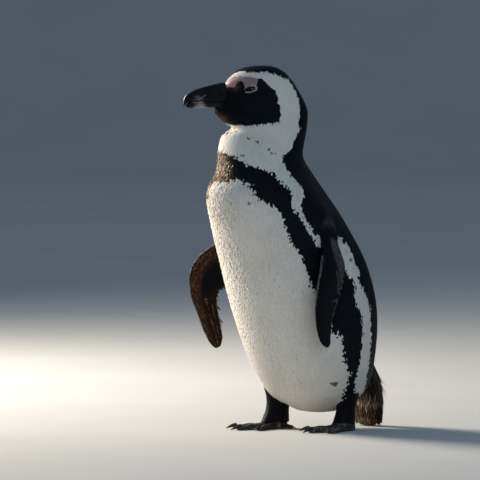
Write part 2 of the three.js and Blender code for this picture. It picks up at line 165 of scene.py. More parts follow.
# Each flipper's own wear and painted light: where its leading edge and trailing tips are pale (the
# tips partly painted sunlight), how many tips are and how pale, how many stand out, how strong the
# slate field is (partly painted sheen), and if it has pale lines (partly painted glints) and a
# painted highlight on the shoulder.
FLIPPER_WEAR_AND_LIGHT = {
    "left": {
        "edge": (0.34, 0.7), "tips": (0.42, 0.92), "tip_chance": 0.45, "tip_pale": (0.2, 0.8),
        "fringe": 0.2, "field": 1.0, "lined": True,
    },
    "right": {
        "edge": (0.2, 0.9), "tips": (0.28, 0.92), "tip_chance": 0.65, "tip_pale": (0.4, 0.95),
        "fringe": 0.35, "field": 0.4, "lined": False,
    },
}
FLIPPER_FEATHER = (5.2, 2.4, 0.65)  # length, width and depth
FLIPPER_REACH = 190  # length of the flipper that feathers may not run past
TRAILING = -0.9  # cosine round a flipper below which a root is on the trailing edge
FRINGE, BUNCH_Z = (0.44, 0.93), (148, 203)  # where tips stand out, and where in a bunch
# Where along the flipper the painted highlight on its shoulder lies, and how far it spreads.
SHOULDER_HIGHLIGHT_SHARE, SHOULDER_HIGHLIGHT_SPREAD = 0.1, 0.035

# Legs: height, reach fore and aft, half width, lean over the toes. Feet are drawn toes to +Y.
LEG_PROFILE = [
    (90, 17, 15, 0), (60, 18, 16, 0), (40, 15.5, 13, 0.5), (26, 15.5, 12, 2.5), (9, 19.4, 12.6, 6.4)
]
ANKLE_HEIGHT, ANKLE_REACH, ANKLE_HALF, ANKLE_LEAN = 12, 20.5, 13.5, 7
STANCES = {
    "left": {"side": 1, "ankle": (48, 45), "turn_out": 4, "girth": 1},
    "right": {"side": -1, "ankle": (-46, 0), "turn_out": 6, "girth": 1.15},
}
TOES = {
    "inner": {"angle": 27, "length": 60, "width": 12, "height": 9.5},
    "middle": {"angle": 2, "length": 71, "width": 13.5, "height": 10},
    "outer": {"angle": -23, "length": 65, "width": 12.5, "height": 9.5},
    "hind": {"angle": 118, "length": 22, "width": 8, "height": 8},
}
FRONT_TOES = ("inner", "middle", "outer")
WEB_THICK, WEB_REACH, WEB_SCALLOP = 3.0, 0.9, 0.76
CLAW_LENGTH, CLAW_RADIUS, CLAW_ROOT, CLAW_LIFT = 12, 3.3, 5, 0.6

# ---------- markings ----------

# White of the belly, the shoulder and neck, and the flank: (degrees round from the breast, height).
BELLY_WHITE = [
    (-5, 350), (10, 351), (25, 352.5), (36, 350), (42, 345), (43.5, 330), (50, 322), (55, 317),
    (58, 309), (58.5, 293), (57, 271), (59, 256), (59.5, 234), (60, 213), (64, 175), (71, 141),
    (79, 137), (81.5, 104), (86, 88), (89, 77), (87, 66), (86, 55), (86, 44), (101, 44),
    (101, 50), (127, 50), (140, 20), (-5, 20),
]
SHOULDER_WHITE = [
    (-5, 391), (10, 391), (31, 385.5), (43, 377.5), (55, 370), (64, 366), (71.5, 362.5),
    (73.1, 354), (75, 347.5), (79, 340), (75.8, 326), (73, 318), (71.3, 310), (73.8, 302),
    (75, 287), (76.4, 275), (76, 264), (77.5, 258), (81.5, 264), (80, 277), (79.2, 289),
    (78.4, 302), (80, 314), (85.5, 325), (91.8, 332), (94, 348), (92.7, 356), (90, 365.5),
    (92.3, 374.5), (94, 383), (124, 396.5), (133, 409), (146, 422), (143, 430), (146, 448.5),
    (152, 466), (156, 479), (180, 520), (-5, 520),
]
FLANK_WHITE = [
    (96, 279), (101, 275), (107, 269), (110.5, 262), (110.8, 252), (110.6, 244), (108.6, 236),
    (109.7, 229), (111.9, 222), (105, 216.5), (106, 210), (108.3, 205), (111.3, 198),
    (107.5, 193), (112.7, 191), (112.6, 183), (114.4, 176), (114.7, 165), (114, 142),
    (116, 127), (117, 101), (116, 80), (127, 49), (101, 50), (98, 66), (98, 81), (100, 102),
    (101.5, 143), (101.5, 165), (97, 178), (96, 190), (99.5, 199), (99, 209), (94, 222),
    (92, 240), (90, 256), (92, 268),
]
# Black of the face, and the bare skin, in side view of the head: (distance along, height).
FACE_EDGE = [
    (8.5, 482), (8, 476), (26.5, 477), (28.5, 483), (31.2, 488.3), (35.5, 488), (37, 485.5),
    (41, 480), (46, 480),
]
FACE_BLACK = [
    (6.5, 491), (4.5, 493), (1, 493), (-2, 489.5), (-6.2, 486), (-9.7, 481.2), (-13.9, 478.4),
    (-17.5, 478), (-17.6, 473.7), (-19.6, 468.9), (-20.8, 459.2), (-23.5, 455.7),
    (-24, 448.1), (-25.2, 442.6), (-23.6, 438), (-21, 433), (-18, 430.7), (-10, 429.6),
    (0.7, 428.8), (17, 428), (31, 427.6), (38, 427), (49.6, 429), (58, 432), (90, 432),
    (90, 481), (50.6, 481.3), *FACE_EDGE[::-1],
]
BARE_SKIN = [
    (60, 481), (60, 486), (50, 490), (44, 494.5), (38, 496.5), (31, 497), (20, 497),
    (10, 495.5), (7, 491.5), *FACE_EDGE, (50.6, 481),
]
BARE_FADE_Z = 488  # above this the bare skin pales into the white over its last few millimetres
# Brown stain down the far side of the breast: (degrees round, height).
STAIN = [
    (-10, 356), (-15, 350), (-19, 344), (-22, 334), (-22, 325), (-30, 321), (-38, 328),
    (-44, 342), (-46, 356),
]
CROWN_ALONG = [-60, -48, -43, -36, -24, -5, 9, 30, 41, 50, 60]
CROWN_Z = [470, 474, 480, 490.5, 496.5, 501.5, 502.5, 500, 496, 488, 480]
NAPE_Z, NAPE_DEGREES = [466, 479, 492], [152, 155.5, 158]
CROWN_HALF_ALONG = [14, 24, 32, 42, 52, 58]
CROWN_HALF = [60, 16, 11, 7, 3, 0]
# Dark feathers on the white: degrees round, height, and how far they spread round and up.
SPOTS = [
    (63.9, 410, 2.6, 1.3), (74.9, 405.3, 2.1, 1.9), (85.3, 395, 2.2, 1.4), (87.5, 390.2, 2.5, 1.3),
    (34.6, 384.3, 2.6, 1.1), (43.5, 386.6, 3.6, 1.0), (33.2, 321, 2.6, 1.2),
    (42.9, 334, 2.8, 2.0), (31, 347.6, 4.0, 0.9), (38.5, 344.4, 3.4, 0.9), (19.1, 417.2, 2.6, 1.0),
    (31, 417, 3.4, 1.0), (37.6, 420, 2.2, 1.0), (72, 68, 3.8, 3.4), (-61, 402, 2.6, 1.6),
    (-83, 396, 2.4, 1.3), (-40, 386, 3.2, 1.0), (-50, 316, 2.8, 1.8), (-47, 262, 3.2, 2.4),
    (-66, 96, 3.8, 3.2), (24, 424, 3.4, 1.2), (11, 422, 2.6, 1.3),
    (105, 241, 2.8, 1.5), (104, 251, 2.2, 1.3), (104.5, 229, 2.2, 1.3),
]
WORN_CHEST = (-44, 20)  # degrees between which the breast band is worn and speckled
WORN_CHEST_Z = (300, 315, 396, 404)  # heights where that begins, is full, ends and is gone
WORN_CHIN_ALONG, WORN_CHIN_Z = (47, 56), (438, 447)
WORN_VENT_Z, WORN_VENT_DEGREES = (56, 78), (116, 132)
# Millimetres round the body in one degree, by height.
DEGREE_Z, DEGREE_MM = [20, 60, 170, 330, 400, 511], [0.6, 1.2, 1.75, 1.5, 0.9, 0.6]
HEAD_FROM = 470  # height from which the white follows crown and nape, and skin may be bare
HEAD_WHITE_FROM = 474  # height from which all but crown and nape is white
NAPE_FROM, NAPE_BEHIND = 468, -20  # height and distance along the head where the nape begins
FACE_FROM = 420  # height from which the face may be black
LORES_ALONG, LORES_Z = 27, (435, 486.5)  # black beyond this, between these heights
EDGE_WOBBLE, SPOT_WOBBLE = 0.6, 0.2
EDGE_STRAY = ([380, 430], [1.4, 1.15])  # height, and how far single feathers stray over an edge
SPOT_DARK, VENT_DARK = 0.82, 0.85

# ---------- small geometry ----------


def unit(vectors):
    return vectors / np.maximum(np.linalg.norm(vectors, axis=-1, keepdims=True), 1e-9)


def within(value, limits):
    return (value > limits[0]) & (value < limits[1])


def smooth_step(low, high, value):
    share = np.clip((value - low) / (high - low), 0, 1)
    return share * share * (3 - 2 * share)


def plateau(low, full, until, gone, value):
    """Rises from low to full, and falls from until to gone."""
    return smooth_step(low, full, value) * (1 - smooth_step(until, gone, value))


def curve_through(rows, by):
    """A smooth curve through rows of numbers, spaced by their distance apart in the columns by."""
    rows = np.asarray(rows, float)
    steps = np.linalg.norm(np.diff(rows[:, by], axis=0), axis=1)
    knots = np.concatenate([[0], np.cumsum(steps)])
    before = np.maximum(np.arange(len(rows)) - 1, 0)
    after = np.minimum(np.arange(len(rows)) + 1, len(rows) - 1)
    slopes = (rows[after] - rows[before]) / (knots[after] - knots[before])[:, None]

    def at(share):
        place = np.clip(share, 0, 1) * knots[-1]
        i = np.clip(np.searchsorted(knots, place, side="right") - 1, 0, len(rows) - 2)
        span = (knots[i + 1] - knots[i])[..., None]
        f = (place - knots[i])[..., None] / span
        a, b = rows[i], rows[i + 1]
        da, db = slopes[i] * span, slopes[i + 1] * span
        return (((2 * a - 2 * b + da + db) * f + 3 * b - 3 * a - 2 * da - db) * f + da) * f + a

    return at


def section_points(row, angle):
    """Points of level sections. The angle runs from straight ahead round by the bird's left."""
    cos, sin = np.cos(angle), np.sin(angle)
    power = np.where(cos > 0, row[..., SNOUT], 2.0)
    reach = np.where(cos > 0, row[..., FRONT], row[..., BACK])
    ahead = reach * np.sign(cos) * np.abs(cos) ** (2 / power)
    aside = row[..., HALF] * np.sign(sin) * np.abs(sin) ** (2 / power)
    turn = np.radians(row[..., TURN])
    x = aside * np.cos(turn) - ahead * np.sin(turn)
    y = row[..., AXIS] - ahead * np.cos(turn) - aside * np.sin(turn)
    return np.stack([x, y, np.broadcast_to(row[..., Z], x.shape)], axis=-1)


body_curve = curve_through(BODY_LEVELS, [Z, FRONT, HALF])
tail_curve = curve_through(TAIL_LEVELS, [Z, FRONT, HALF])
LEVEL_SHARES = np.linspace(0, 1, 3001)
LEVEL_HEIGHTS = np.maximum.accumulate(body_curve(LEVEL_SHARES)[:, Z])


def body_form(share, angle):
    return section_points(body_curve(share), angle)


def tail_form(share, angle):
    return section_points(tail_curve(share), angle)


def flipper_form(stations):
    curve = curve_through(stations, [0, 1, 2])

    def form(share, angle):
        row = curve(share)
        along = unit(curve(share + 0.01)[..., :3] - curve(share - 0.01)[..., :3])
        lead = row[..., 5:8]
        lead = unit(lead - along * np.sum(lead * along, axis=-1, keepdims=True))
        face = np.cross(along, lead)
        cos, sin = np.cos(angle)[..., None], np.sin(angle)[..., None]
        chord, thick = row[..., 3:4], row[..., 4:5]
        blunt = 1 + FLIPPER_BLUNT * cos
        return row[..., :3] + lead * chord / 2 * cos + face * thick / 2 * sin * blunt

    return form


def planted(points, stance):
    """Sets points drawn in the foot's plan onto the ground, mirrored for the right foot."""
    heading = math.radians(180 + stance["side"] * stance["turn_out"])
    c, s = math.cos(heading), math.sin(heading)
    x, y = -stance["side"] * points[..., 0], points[..., 1]
    ankle_x, ankle_y = stance["ankle"]
    x, y = ankle_x + x * c - y * s, ankle_y + x * s + y * c
    return np.stack([x, y, points[..., 2]], axis=-1)


def leg_form(stance):
    curve = curve_through(LEG_PROFILE, [0])

    def form(share, angle):
        row = curve(share)
        x = row[..., 2] * stance["girth"] * np.cos(angle)
        y = row[..., 3] + row[..., 1] * stance["girth"] * np.sin(angle)
        return planted(np.stack([x, y, row[..., 0]], axis=-1), stance)

    return form


def head_place(points):
    """Distance along the head's axis and aside of it."""
    flat = points - np.array([0, NECK_AXIS, 0])
    return flat @ HEAD_AHEAD, flat @ HEAD_ASIDE


def head_point(along, aside, z):
    along, aside, z = np.broadcast_arrays(along, aside, z)
    base = np.stack([np.zeros_like(z, float), np.full_like(z, NECK_AXIS, float), z], axis=-1)
    return base + along[..., None] * HEAD_AHEAD + aside[..., None] * HEAD_ASIDE


def body_place(points):
    """Height and signed degrees round from straight ahead, in the body's own sections."""
    z = points[..., 2]
    row = body_curve(np.interp(z, LEVEL_HEIGHTS, LEVEL_SHARES))
    turn = np.radians(row[..., TURN])
    x, y = points[..., 0], points[..., 1] - row[..., AXIS]
    ahead = -x * np.sin(turn) - y * np.cos(turn)
    aside = x * np.cos(turn) - y * np.sin(turn)
    power = np.where(ahead > 0, row[..., SNOUT], 2.0)
    reach = np.maximum(np.where(ahead > 0, row[..., FRONT], row[..., BACK]), 0.1)
    cos = np.sign(ahead) * (np.abs(ahead) / reach) ** (power / 2)
    sin = np.sign(aside) * (np.abs(aside) / np.maximum(row[..., HALF], 0.1)) ** (power / 2)
    return z, np.degrees(np.arctan2(sin, cos))


def inside_outline(outline, x, y):
    """Which points lie inside a closed outline."""
    inside = np.zeros(np.shape(x), bool)
    corners = np.asarray(outline, float)
    for (ax, ay), (bx, by) in zip(corners, np.roll(corners, -1, axis=0)):
        crosses = (ay > y) != (by > y)
        rise = by - ay if by != ay else 1e-9
        inside ^= crosses & (x < (bx - ax) * (y - ay) / rise + ax)
    return inside


def near_line(corners, x, y):
    """Distance to the nearest stretch of an open line."""
    nearest = np.full(np.shape(x), 1e9)
    corners = np.asarray(corners, float)
    for a, b in zip(corners[:-1], corners[1:]):
        side = b - a
        share = np.clip(((x - a[0]) * side[0] + (y - a[1]) * side[1]) / (side @ side), 0, 1)
        away = np.hypot(x - a[0] - share * side[0], y - a[1] - share * side[1])
        nearest = np.minimum(nearest, away)
    return nearest


def near_outline(outline, x, y):
    """Distance to the nearest side of a closed outline."""
    return near_line([*outline, outline[0]], x, y)


def gaze(side):
    """Middle of an eyeball and the way that eye looks, with its level and upright axes."""
    level = body_curve(np.interp(EYE_Z, LEVEL_HEIGHTS, LEVEL_SHARES))
    aside = level[HALF] * (1 - (EYE_ALONG / level[FRONT]) ** level[SNOUT]) ** (1 / level[SNOUT])
    way = (
        math.sin(EYE_AHEAD) * math.cos(EYE_UP) * HEAD_AHEAD
        + side * math.cos(EYE_AHEAD) * math.cos(EYE_UP) * HEAD_ASIDE
        + math.sin(EYE_UP) * UP
    )
    centre = head_point(EYE_ALONG, side * aside, EYE_Z) - way * EYE_SUNK
    level_axis = unit(HEAD_AHEAD - way * (HEAD_AHEAD @ way))
    upright = np.cross(way, level_axis)
    upright *= np.sign(upright[2])
    c, s = math.cos(LID_TILT), math.sin(LID_TILT)
    return centre, way, level_axis * c - upright * s, upright * c + level_axis * s


def lid_place(side, points):
    """How far points lie ahead of the eyeball's middle, and along and across the lids' opening."""
    centre, way, long_axis, short_axis = gaze(side)
    off = points - centre
    return off @ way, off @ long_axis - LID_AHEAD, off @ short_axis - LID_UP


# Where the drawing's origin lies in the frame, found from the two eyes.
EYE_BOXES = [np.array(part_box(f"eye_{side}")) for side in ("left", "right")]
SHIFT = np.mean([box.mean(axis=0) for box in EYE_BOXES], axis=0)
SHIFT = SHIFT - (gaze(1)[0] + gaze(-1)[0]) / 2 * MM

# ---------- meshes ----------


def to_frame(points):
    return points * MM + SHIFT


def outward(points, faces):
    """The faces of a closed form, turned to look out of it."""
    corners = np.array([face[:3] for face in faces])
    a, b, c = (points[corners[:, k]] - points.mean(axis=0) for k in range(3))
    return [face[::-1] for face in faces] if np.sum(a * np.cross(b, c)) < 0 else faces


def joined(shapes):
    """Points and faces of several forms as one."""
    points, faces, start = [], [], 0
    for shape_points, shape_faces in shapes:
        points.append(shape_points)
        faces += [tuple(corner + start for corner in face) for face in shape_faces]
        start += len(shape_points)
    return np.concatenate(points), faces


def band_faces(starts, sides):
    """Faces from each ring of points to the next. starts are the rings' first points."""
    faces = []
    for low, high in zip(starts, starts[1:]):
        for side in range(sides):
            after = (side + 1) % sides
            faces.append((low + side, low + after, high + after, high + side))
    return faces


def loft(rings, first=None, last=None):
    """Points and faces of a closed form over rings of points, each end closed on one point."""
    rings = np.asarray(rings, float)
    count, sides = rings.shape[:2]
    first = rings[0].mean(axis=0) if first is None else first
    last = rings[-1].mean(axis=0) if last is None else last
    points = np.concatenate([[first], rings.reshape(-1, 3), [last]])
    starts = [1 + ring * sides for ring in range(count)]
    pairs = [(side, (side + 1) % sides) for side in range(sides)]
    faces = [(0, 1 + b, 1 + a) for a, b in pairs]
    faces += band_faces(starts, sides)
    faces += [(len(points) - 1, starts[-1] + a, starts[-1] + b) for a, b in pairs]
    return points, outward(points, faces)


def turns(count):
    """Angles evenly round a full turn."""
    return np.linspace(0, FULL_TURN, count, endpoint=False)


def grid_loft(form, ring_count, side_count, span=(0.0, 1.0), first=None, last=None):
    share = np.linspace(*span, ring_count)[:, None]
    share, angle = np.broadcast_arrays(share, turns(side_count)[None, :])
    return loft(form(share, angle), first, last)


def shade_smooth(mesh):
    mesh.polygons.foreach_set("use_smooth", np.ones(len(mesh.polygons), bool))


def add_object(mesh, material=None):
    """An object with the mesh's own name."""
    piece = bpy.data.objects.new(mesh.name, mesh)
    bpy.context.scene.collection.objects.link(piece)
    if material is not None:
        mesh.materials.append(material)
    shade_smooth(mesh)
    return piece


def mesh_of(name, points, faces):
    mesh = bpy.data.meshes.new(name)
    mesh.from_pydata(to_frame(points).tolist(), [], faces)
    mesh.update()
    return mesh


def with_modifiers(piece):
    """Replaces a piece's mesh by what its modifiers make of it."""
    graph = bpy.context.evaluated_depsgraph_get()
    made = bpy.data.meshes.new_from_object(piece.evaluated_get(graph))
    piece.modifiers.clear()
    old, piece.data = piece.data, made
    bpy.data.meshes.remove(old)


def combine(piece, tool, operation):
    """Adds or cuts away a tool, which is used up."""
    modifier = piece.modifiers.new("combine", "BOOLEAN")
    modifier.solver = "MANIFOLD"
    modifier.operation = operation
    modifier.object = tool
    with_modifiers(piece)
    used = tool.data
    bpy.data.objects.remove(tool)
    bpy.data.meshes.remove(used)


def mesh_points(mesh):
    """A mesh's points in the drawing's millimetres."""
    flat = np.empty(len(mesh.vertices) * 3, np.float32)
    mesh.vertices.foreach_get("co", flat)
    return (flat.reshape(-1, 3).astype(float) - SHIFT) / MM


def set_points(mesh, points):
    mesh.vertices.foreach_set("co", to_frame(points).astype(np.float32).ravel())
    mesh.update()


def set_attribute(mesh, name, values):
    attribute = mesh.attributes.new(name, "FLOAT", "POINT")
    attribute.data.foreach_set("value", np.asarray(values, np.float32))


def finish_piece(piece, slot, *nodes):
    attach(piece, "root")
    if nodes:
        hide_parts(*nodes)


class Surface:
    """A form as a search tree, for laying feathers along it."""

    def __init__(self, points, faces):
        self.tree = BVHTree.FromPolygons([Vector(p) for p in points], faces)
        self.low, self.high = points.min(axis=0), points.max(axis=0)

    def nearest(self, points):
        found = [self.tree.find_nearest(Vector(p))[:2] for p in points]
        return np.array([f[0] for f in found]), np.array([f[1] for f in found])

    def gap(self, points):
        """How far outside the form each point lies, below zero inside, and the normal there."""
        place, normal = self.nearest(points)
        away = points - place
        side = np.sign(np.sum(away * normal, axis=1))
        return np.linalg.norm(away, axis=1) * side, normal

    def depth(self, points):
        return -self.gap(points)[0]


LIMBS = {
    "flipper_left": flipper_form(LEFT_FLIPPER),
    "flipper_right": flipper_form(RIGHT_FLIPPER),
    **{f"leg_{side}": leg_form(stance) for side, stance in STANCES.items()},
    "tail": tail_form,
}
SURFACE_GRIDS = {"flipper": (120, 64), "leg": (40, 48), "tail": (60, 72)}


def kind_of(limb):
    return limb.partition("_")[0]


@functools.cache
def surface(name):
    """The search tree of the body's form or of a limb's, made once."""
    if name != "body":
        return Surface(*grid_loft(LIMBS[name], *SURFACE_GRIDS[kind_of(name)]))
    bottom, top = body_form(np.array([0.0, 1.0]), np.array([0.0, 0.0]))
    return Surface(*grid_loft(body_form, 300, 200, (0.002, 0.998), bottom, top))


# How far each limb melts into the body round its root, and the heights between which it starts to.
MELTS = {
    "flipper_left": (20, 258, 278),
    "flipper_right": (11, 236, 256),
    "leg_left": (9, 30, 40),
    "leg_right": (9, 30, 40),
    "tail": (16, 50, 75),
}


def melt(points, normals, own, other):
    """Moves points out where two forms come near, so that one grows smoothly from the other."""
    reach, low, high = MELTS[own if other == "body" else other]
    shape = points.shape
    points, normals = points.reshape(-1, 3).copy(), normals.reshape(-1, 3).copy()
    form = surface(other)
    near = np.all((points > form.low - reach) & (points < form.high + reach), axis=1)
    near &= points[:, 2] > low
    if near.any():
        gap, facing = form.gap(points[near])
        share = np.clip(1 - gap / reach, 0, 1) * smooth_step(low, high, points[near, 2])
        normals[near] = unit(normals[near] + facing * share[:, None])
        points[near] += normals[near] * (share**2 * reach / 4)[:, None]
    return points.reshape(shape), normals.reshape(shape)


# ---------- coat ----------

COAT_DEPTH_Z = [20, 60, 340, 395, 430, 511]
COAT_DEPTH = [2.6, 3.2, 3.2, 2.4, 1.7, 1.5]
BARE_DEPTH = 0.35
# Dips of the head: distance along, height, how far they spread each way, depth.
DIPS = [(EYE_ALONG, EYE_Z, 11, 8, 0.9), (40, 481, 9, 7, 1.5), (33, 462, 12, 6, 0.5)]


def in_bare_skin(along, z):
    return inside_outline(BARE_SKIN, along, z)


def coat_depth(points):
    """Depth of skin under the feather tips on body and head."""
    along, _ = head_place(points)
    depth = np.interp(points[..., 2], COAT_DEPTH_Z, COAT_DEPTH)
    inner = smooth_step(0, 2.5, near_outline(BARE_SKIN, along, points[..., 2]))
    return depth + (BARE_DEPTH - depth) * in_bare_skin(along, points[..., 2]) * inner


def relief(points):
    """How far the head's surface dips at the lores, round the eyes and behind the bill."""
    along, aside = head_place(points)
    z = points[..., 2]
    dip = np.zeros(np.shape(z))
    for at_along, at_z, wide, high, deep in DIPS:
        spread = ((along - at_along) / wide) ** 2 + ((z - at_z) / high) ** 2
        dip += deep * np.exp(-spread) * smooth_step(4, 16, np.abs(aside))
    return dip


def wobble(points, size):
    """A gentle unevenness in millimetres that is the same for skin and coat."""
    x, y, z = points[..., 0], points[..., 1], points[..., 2]
    return size * (
        np.sin(0.41 * z + 0.13 * x)
        + np.sin(0.23 * x - 0.31 * y + 1.7)
        + np.sin(0.67 * z - 0.37 * y + 0.29 * x)
        + 0.8 * np.sin(1.03 * y - 0.71 * z + 0.9)
        + 0.8 * np.sin(1.31 * x + 0.53 * z)
    )


def markings(points, scatter=0.0, rng=None):
    """Darkness, rust and bareness of the coat at points on body, neck and head."""
    shift = wobble(points, EDGE_WOBBLE)
    if rng is not None:
        shift = shift + rng.normal(0, scatter, np.shape(shift))
    z, degrees = body_place(points)
    per_degree = np.interp(z, DEGREE_Z, DEGREE_MM)
    round_ = np.abs(degrees) + shift / per_degree
    height = z + shift * 0.8
    along, aside = head_place(points)
    white = np.zeros(np.shape(z), bool)
    for outline in (BELLY_WHITE, SHOULDER_WHITE, FLANK_WHITE):
        white |= inside_outline(outline, round_, height)
    crown = (z > HEAD_FROM) & (height > np.interp(along, CROWN_ALONG, CROWN_Z))
    crown &= np.abs(aside) < np.interp(along, CROWN_HALF_ALONG, CROWN_HALF)
    nape = (z > NAPE_FROM) & (along < NAPE_BEHIND)
    crown |= nape & (round_ > np.interp(z, NAPE_Z, NAPE_DEGREES))
    white = np.where(z < HEAD_WHITE_FROM, white, ~crown)
    face = inside_outline(FACE_BLACK, along + shift * 0.6, z + shift * 0.6) & (z > FACE_FROM)
    to_face, to_bare = near_outline(FACE_BLACK, along, z), near_outline(BARE_SKIN, along, z)
    face |= (to_face < 2) & (to_bare < 2)
    face |= (along > LORES_ALONG) & within(z, LORES_Z)
    dark = (~white | face).astype(float)
    for at_degrees, at_z, wide, high in SPOTS:
        away = np.hypot((degrees - at_degrees) * per_degree / wide, (z - at_z) / high)
        if rng is not None:
            away = away + rng.normal(0, SPOT_WOBBLE, np.shape(away))
        dark = np.where(away < 1, np.maximum(dark, SPOT_DARK), dark)
    stain = inside_outline(STAIN, degrees, z + shift)
    dark = np.where(stain, 1.0, dark)
    bare = in_bare_skin(along, z) & (z > HEAD_FROM)
    if rng is None:
        dark = np.where(bare, 0.0, dark)
    else:
        dark = np.where(bare & (to_face < 1.6), 1.0, dark)
    low, high = WORN_CHEST
    ragged = degrees + shift * 3
    chest = plateau(low - 10, low + 4, high - 5, high + 8, ragged) * plateau(*WORN_CHEST_Z, z)
    chin = face * smooth_step(*WORN_CHIN_ALONG, along) * (1 - smooth_step(*WORN_CHIN_Z, z))
    vent = (1 - smooth_step(*WORN_VENT_Z, z)) * smooth_step(*WORN_VENT_DEGREES, np.abs(degrees))
    dark = np.maximum(dark, VENT_DARK * (vent > 0.5))
    fade = smooth_step(-0.6, 2.6, near_outline(BARE_SKIN, along + shift, z + shift))
    bare = bare * np.where(z > BARE_FADE_Z, fade, 1.0)
    return dark, np.maximum.reduce([chest, chin, vent, stain]), bare


# One vane: stations from root to tip, each with a left edge, a raised middle and a right edge.
VANE_STATIONS = np.array([0, 0.5, 0.8, 1.0])
VANE_WIDTHS = np.array([0.45, 0.95, 0.78])
VANE_LEFT, VANE_RIGHT, VANE_ROOT = (0, 3, 6, 9), (2, 5, 8, 9), (0, 1, 2)
VANE_POINTS = 10


def vane_faces():
    faces = []
    for left in (0, 3):
        middle, right = left + 1, left + 2
        faces += [
            (left, left + 3, middle + 3, middle),
            (middle, middle + 3, right + 3, right),
            (right, right + 3, left + 3, left),
        ]
    return faces + [(6, 9, 7), (7, 9, 8), (8, 9, 6), VANE_ROOT]


VANE_SWEEP = 2.0  # how soon a vane rises from its root to lie flat
VANE_DROOP = 0.08  # how far its edges hang below its middle, of its width
BAKE_PATCH = 0.003


def lay_feathers(form, roots, lie, length):
    """Stations of each feather along a surface, from its root the way the coat lies."""
    place, normal = form.nearest(roots)
    places, normals = [place], [normal]
    for step in np.diff(VANE_STATIONS):
        way = lie(place, normal)
        way = unit(way - normal * np.sum(way * normal, axis=1, keepdims=True))
        place, normal = form.nearest(place + way * (length * step)[:, None])
        places.append(place)
        normals.append(normal)
    return np.stack(places, axis=1), np.stack(normals, axis=1)


def vane_mesh(name, stations, normals, width, depth, lift, root_uv, looks):
    """Joined solid vanes. stations and normals are (feather, station, 3)."""
    count = len(stations)
    ways = np.gradient(stations, axis=1)
    ways = unit(ways - normals * np.sum(ways * normals, axis=2, keepdims=True))
    across = np.cross(normals, ways)
    rise = lift[:, None] * VANE_STATIONS**2 - depth[:, None] * (1 - VANE_STATIONS) ** VANE_SWEEP
    middle = stations + normals * rise[..., None]
    half = width[:, None] * VANE_WIDTHS[None, :] / 2
    droop = VANE_DROOP * width[:, None, None]
    edge = middle[:, :-1] - normals[:, :-1] * droop
    points = np.empty((count, VANE_POINTS, 3))
    points[:, 0:9:3] = edge - across[:, :-1] * half[..., None]
    points[:, 1:9:3] = middle[:, :-1]
    points[:, 2:9:3] = edge + across[:, :-1] * half[..., None]
    points[:, 9] = middle[:, -1] - normals[:, -1] * droop[:, 0] * 0.6
    mesh = bpy.data.meshes.new(name)
    mesh.vertices.add(count * VANE_POINTS)
    mesh.vertices.foreach_set("co", to_frame(points).astype(np.float32).ravel())
    faces = vane_faces()
    corner = np.concatenate(faces)
    sizes = np.array([len(face) for face in faces])
    corners = (np.arange(count)[:, None] * VANE_POINTS + corner[None, :]).ravel()
    starts = np.concatenate([[0], np.cumsum(np.tile(sizes, count))[:-1]])
    mesh.loops.add(len(corners))
    mesh.loops.foreach_set("vertex_index", corners.astype(np.int32))
    mesh.polygons.add(len(starts))
    mesh.polygons.foreach_set("loop_start", starts.astype(np.int32))
    mesh.update(calc_edges=True)
    # The two edges and the root are sharp, so the top shades round and the thin sides stay crisp.
    ends = np.empty(len(mesh.edges) * 2, np.int32)
    mesh.edges.foreach_get("vertices", ends)
    ends = ends.reshape(-1, 2) % VANE_POINTS
    sharp = np.zeros(len(ends), bool)
    for rim in (VANE_LEFT, VANE_RIGHT, VANE_ROOT):
        sharp |= np.isin(ends, rim).all(axis=1)
    mesh.attributes.new("sharp_edge", "BOOLEAN", "EDGE").data.foreach_set("value", sharp)
    side = np.array([-1, 0, 1] * 3 + [0.0])
    along = np.concatenate([np.repeat(VANE_STATIONS[:-1], 3), [1]])
    local = np.stack([(side + 1) / 2, along], axis=1) * BAKE_PATCH
    uv = root_uv[:, None, :] * (1 - BAKE_PATCH) + local[None, :, :]
    layer = mesh.uv_layers.new(name="OFBake")
    layer.data.foreach_set("uv", uv.reshape(-1, 2)[corners].astype(np.float32).ravel())
    set_attribute(mesh, "vane_across", np.tile(side, count))
    set_attribute(mesh, "vane_along", np.tile(along, count))
    for look, values in looks.items():
        set_attribute(mesh, look, np.repeat(values, VANE_POINTS))
    return mesh


SOW_AROUND = 241  # points round a form for measuring its rows
SOW_STEP = 0.002  # share along a form for measuring how far it runs
SOW_ROW = 0.87  # distance between rows, of that between roots in a row
SOW_STRAY = 0.24  # how far a root strays from its place, of that distance


def sow(form, pitch, rng, span):
    """Roots in staggered rows across a form: share along it and angle round it."""
    shares, angles = [], []
    around = np.linspace(0, FULL_TURN, SOW_AROUND)
    share, row = span[0], 0
    while share < span[1]:
        ring = form(np.full(around.shape, share), around)
        further = form(np.full(around.shape, share + SOW_STEP), around)
        reach = np.concatenate([[0], np.cumsum(np.linalg.norm(np.diff(ring, axis=0), axis=1))])
        gap = pitch(ring[:-1].mean(axis=0))
        count = max(int(reach[-1] / gap), 3)
        spread = np.arange(count) + 0.5 * (row % 2) + rng.uniform(-SOW_STRAY, SOW_STRAY, count)
        angles.append(np.interp(spread / count % 1 * reach[-1], reach, around))
        rise = np.linalg.norm(further - ring, axis=1).mean() / SOW_STEP
        step = gap * SOW_ROW / rise
        shares.append(share + step * rng.uniform(-SOW_STRAY, SOW_STRAY, count))
        share += step
        row += 1
    return np.clip(np.concatenate(shares), *span), np.concatenate(angles)


LIE_OVER_HEAD = -HEAD_AHEAD - UP * 0.42
LIE_HEAD_Z, LIE_REAR_Z = (412, 462), (45, 150)


def body_lie(places, normals):
    """Which way feathers lie: back from the bill over the head, then down and to the tail."""
    z = places[:, 2]
    along, _ = head_place(places)
    head = smooth_step(*LIE_HEAD_Z, z + 0.35 * along)[:, None]
    rear = (1 - smooth_step(*LIE_REAR_Z, z))[:, None]
    down = -UP * (1 - 0.45 * rear) + np.array([0, 1, 0]) * rear * 0.9
    return head * LIE_OVER_HEAD + (1 - head) * down


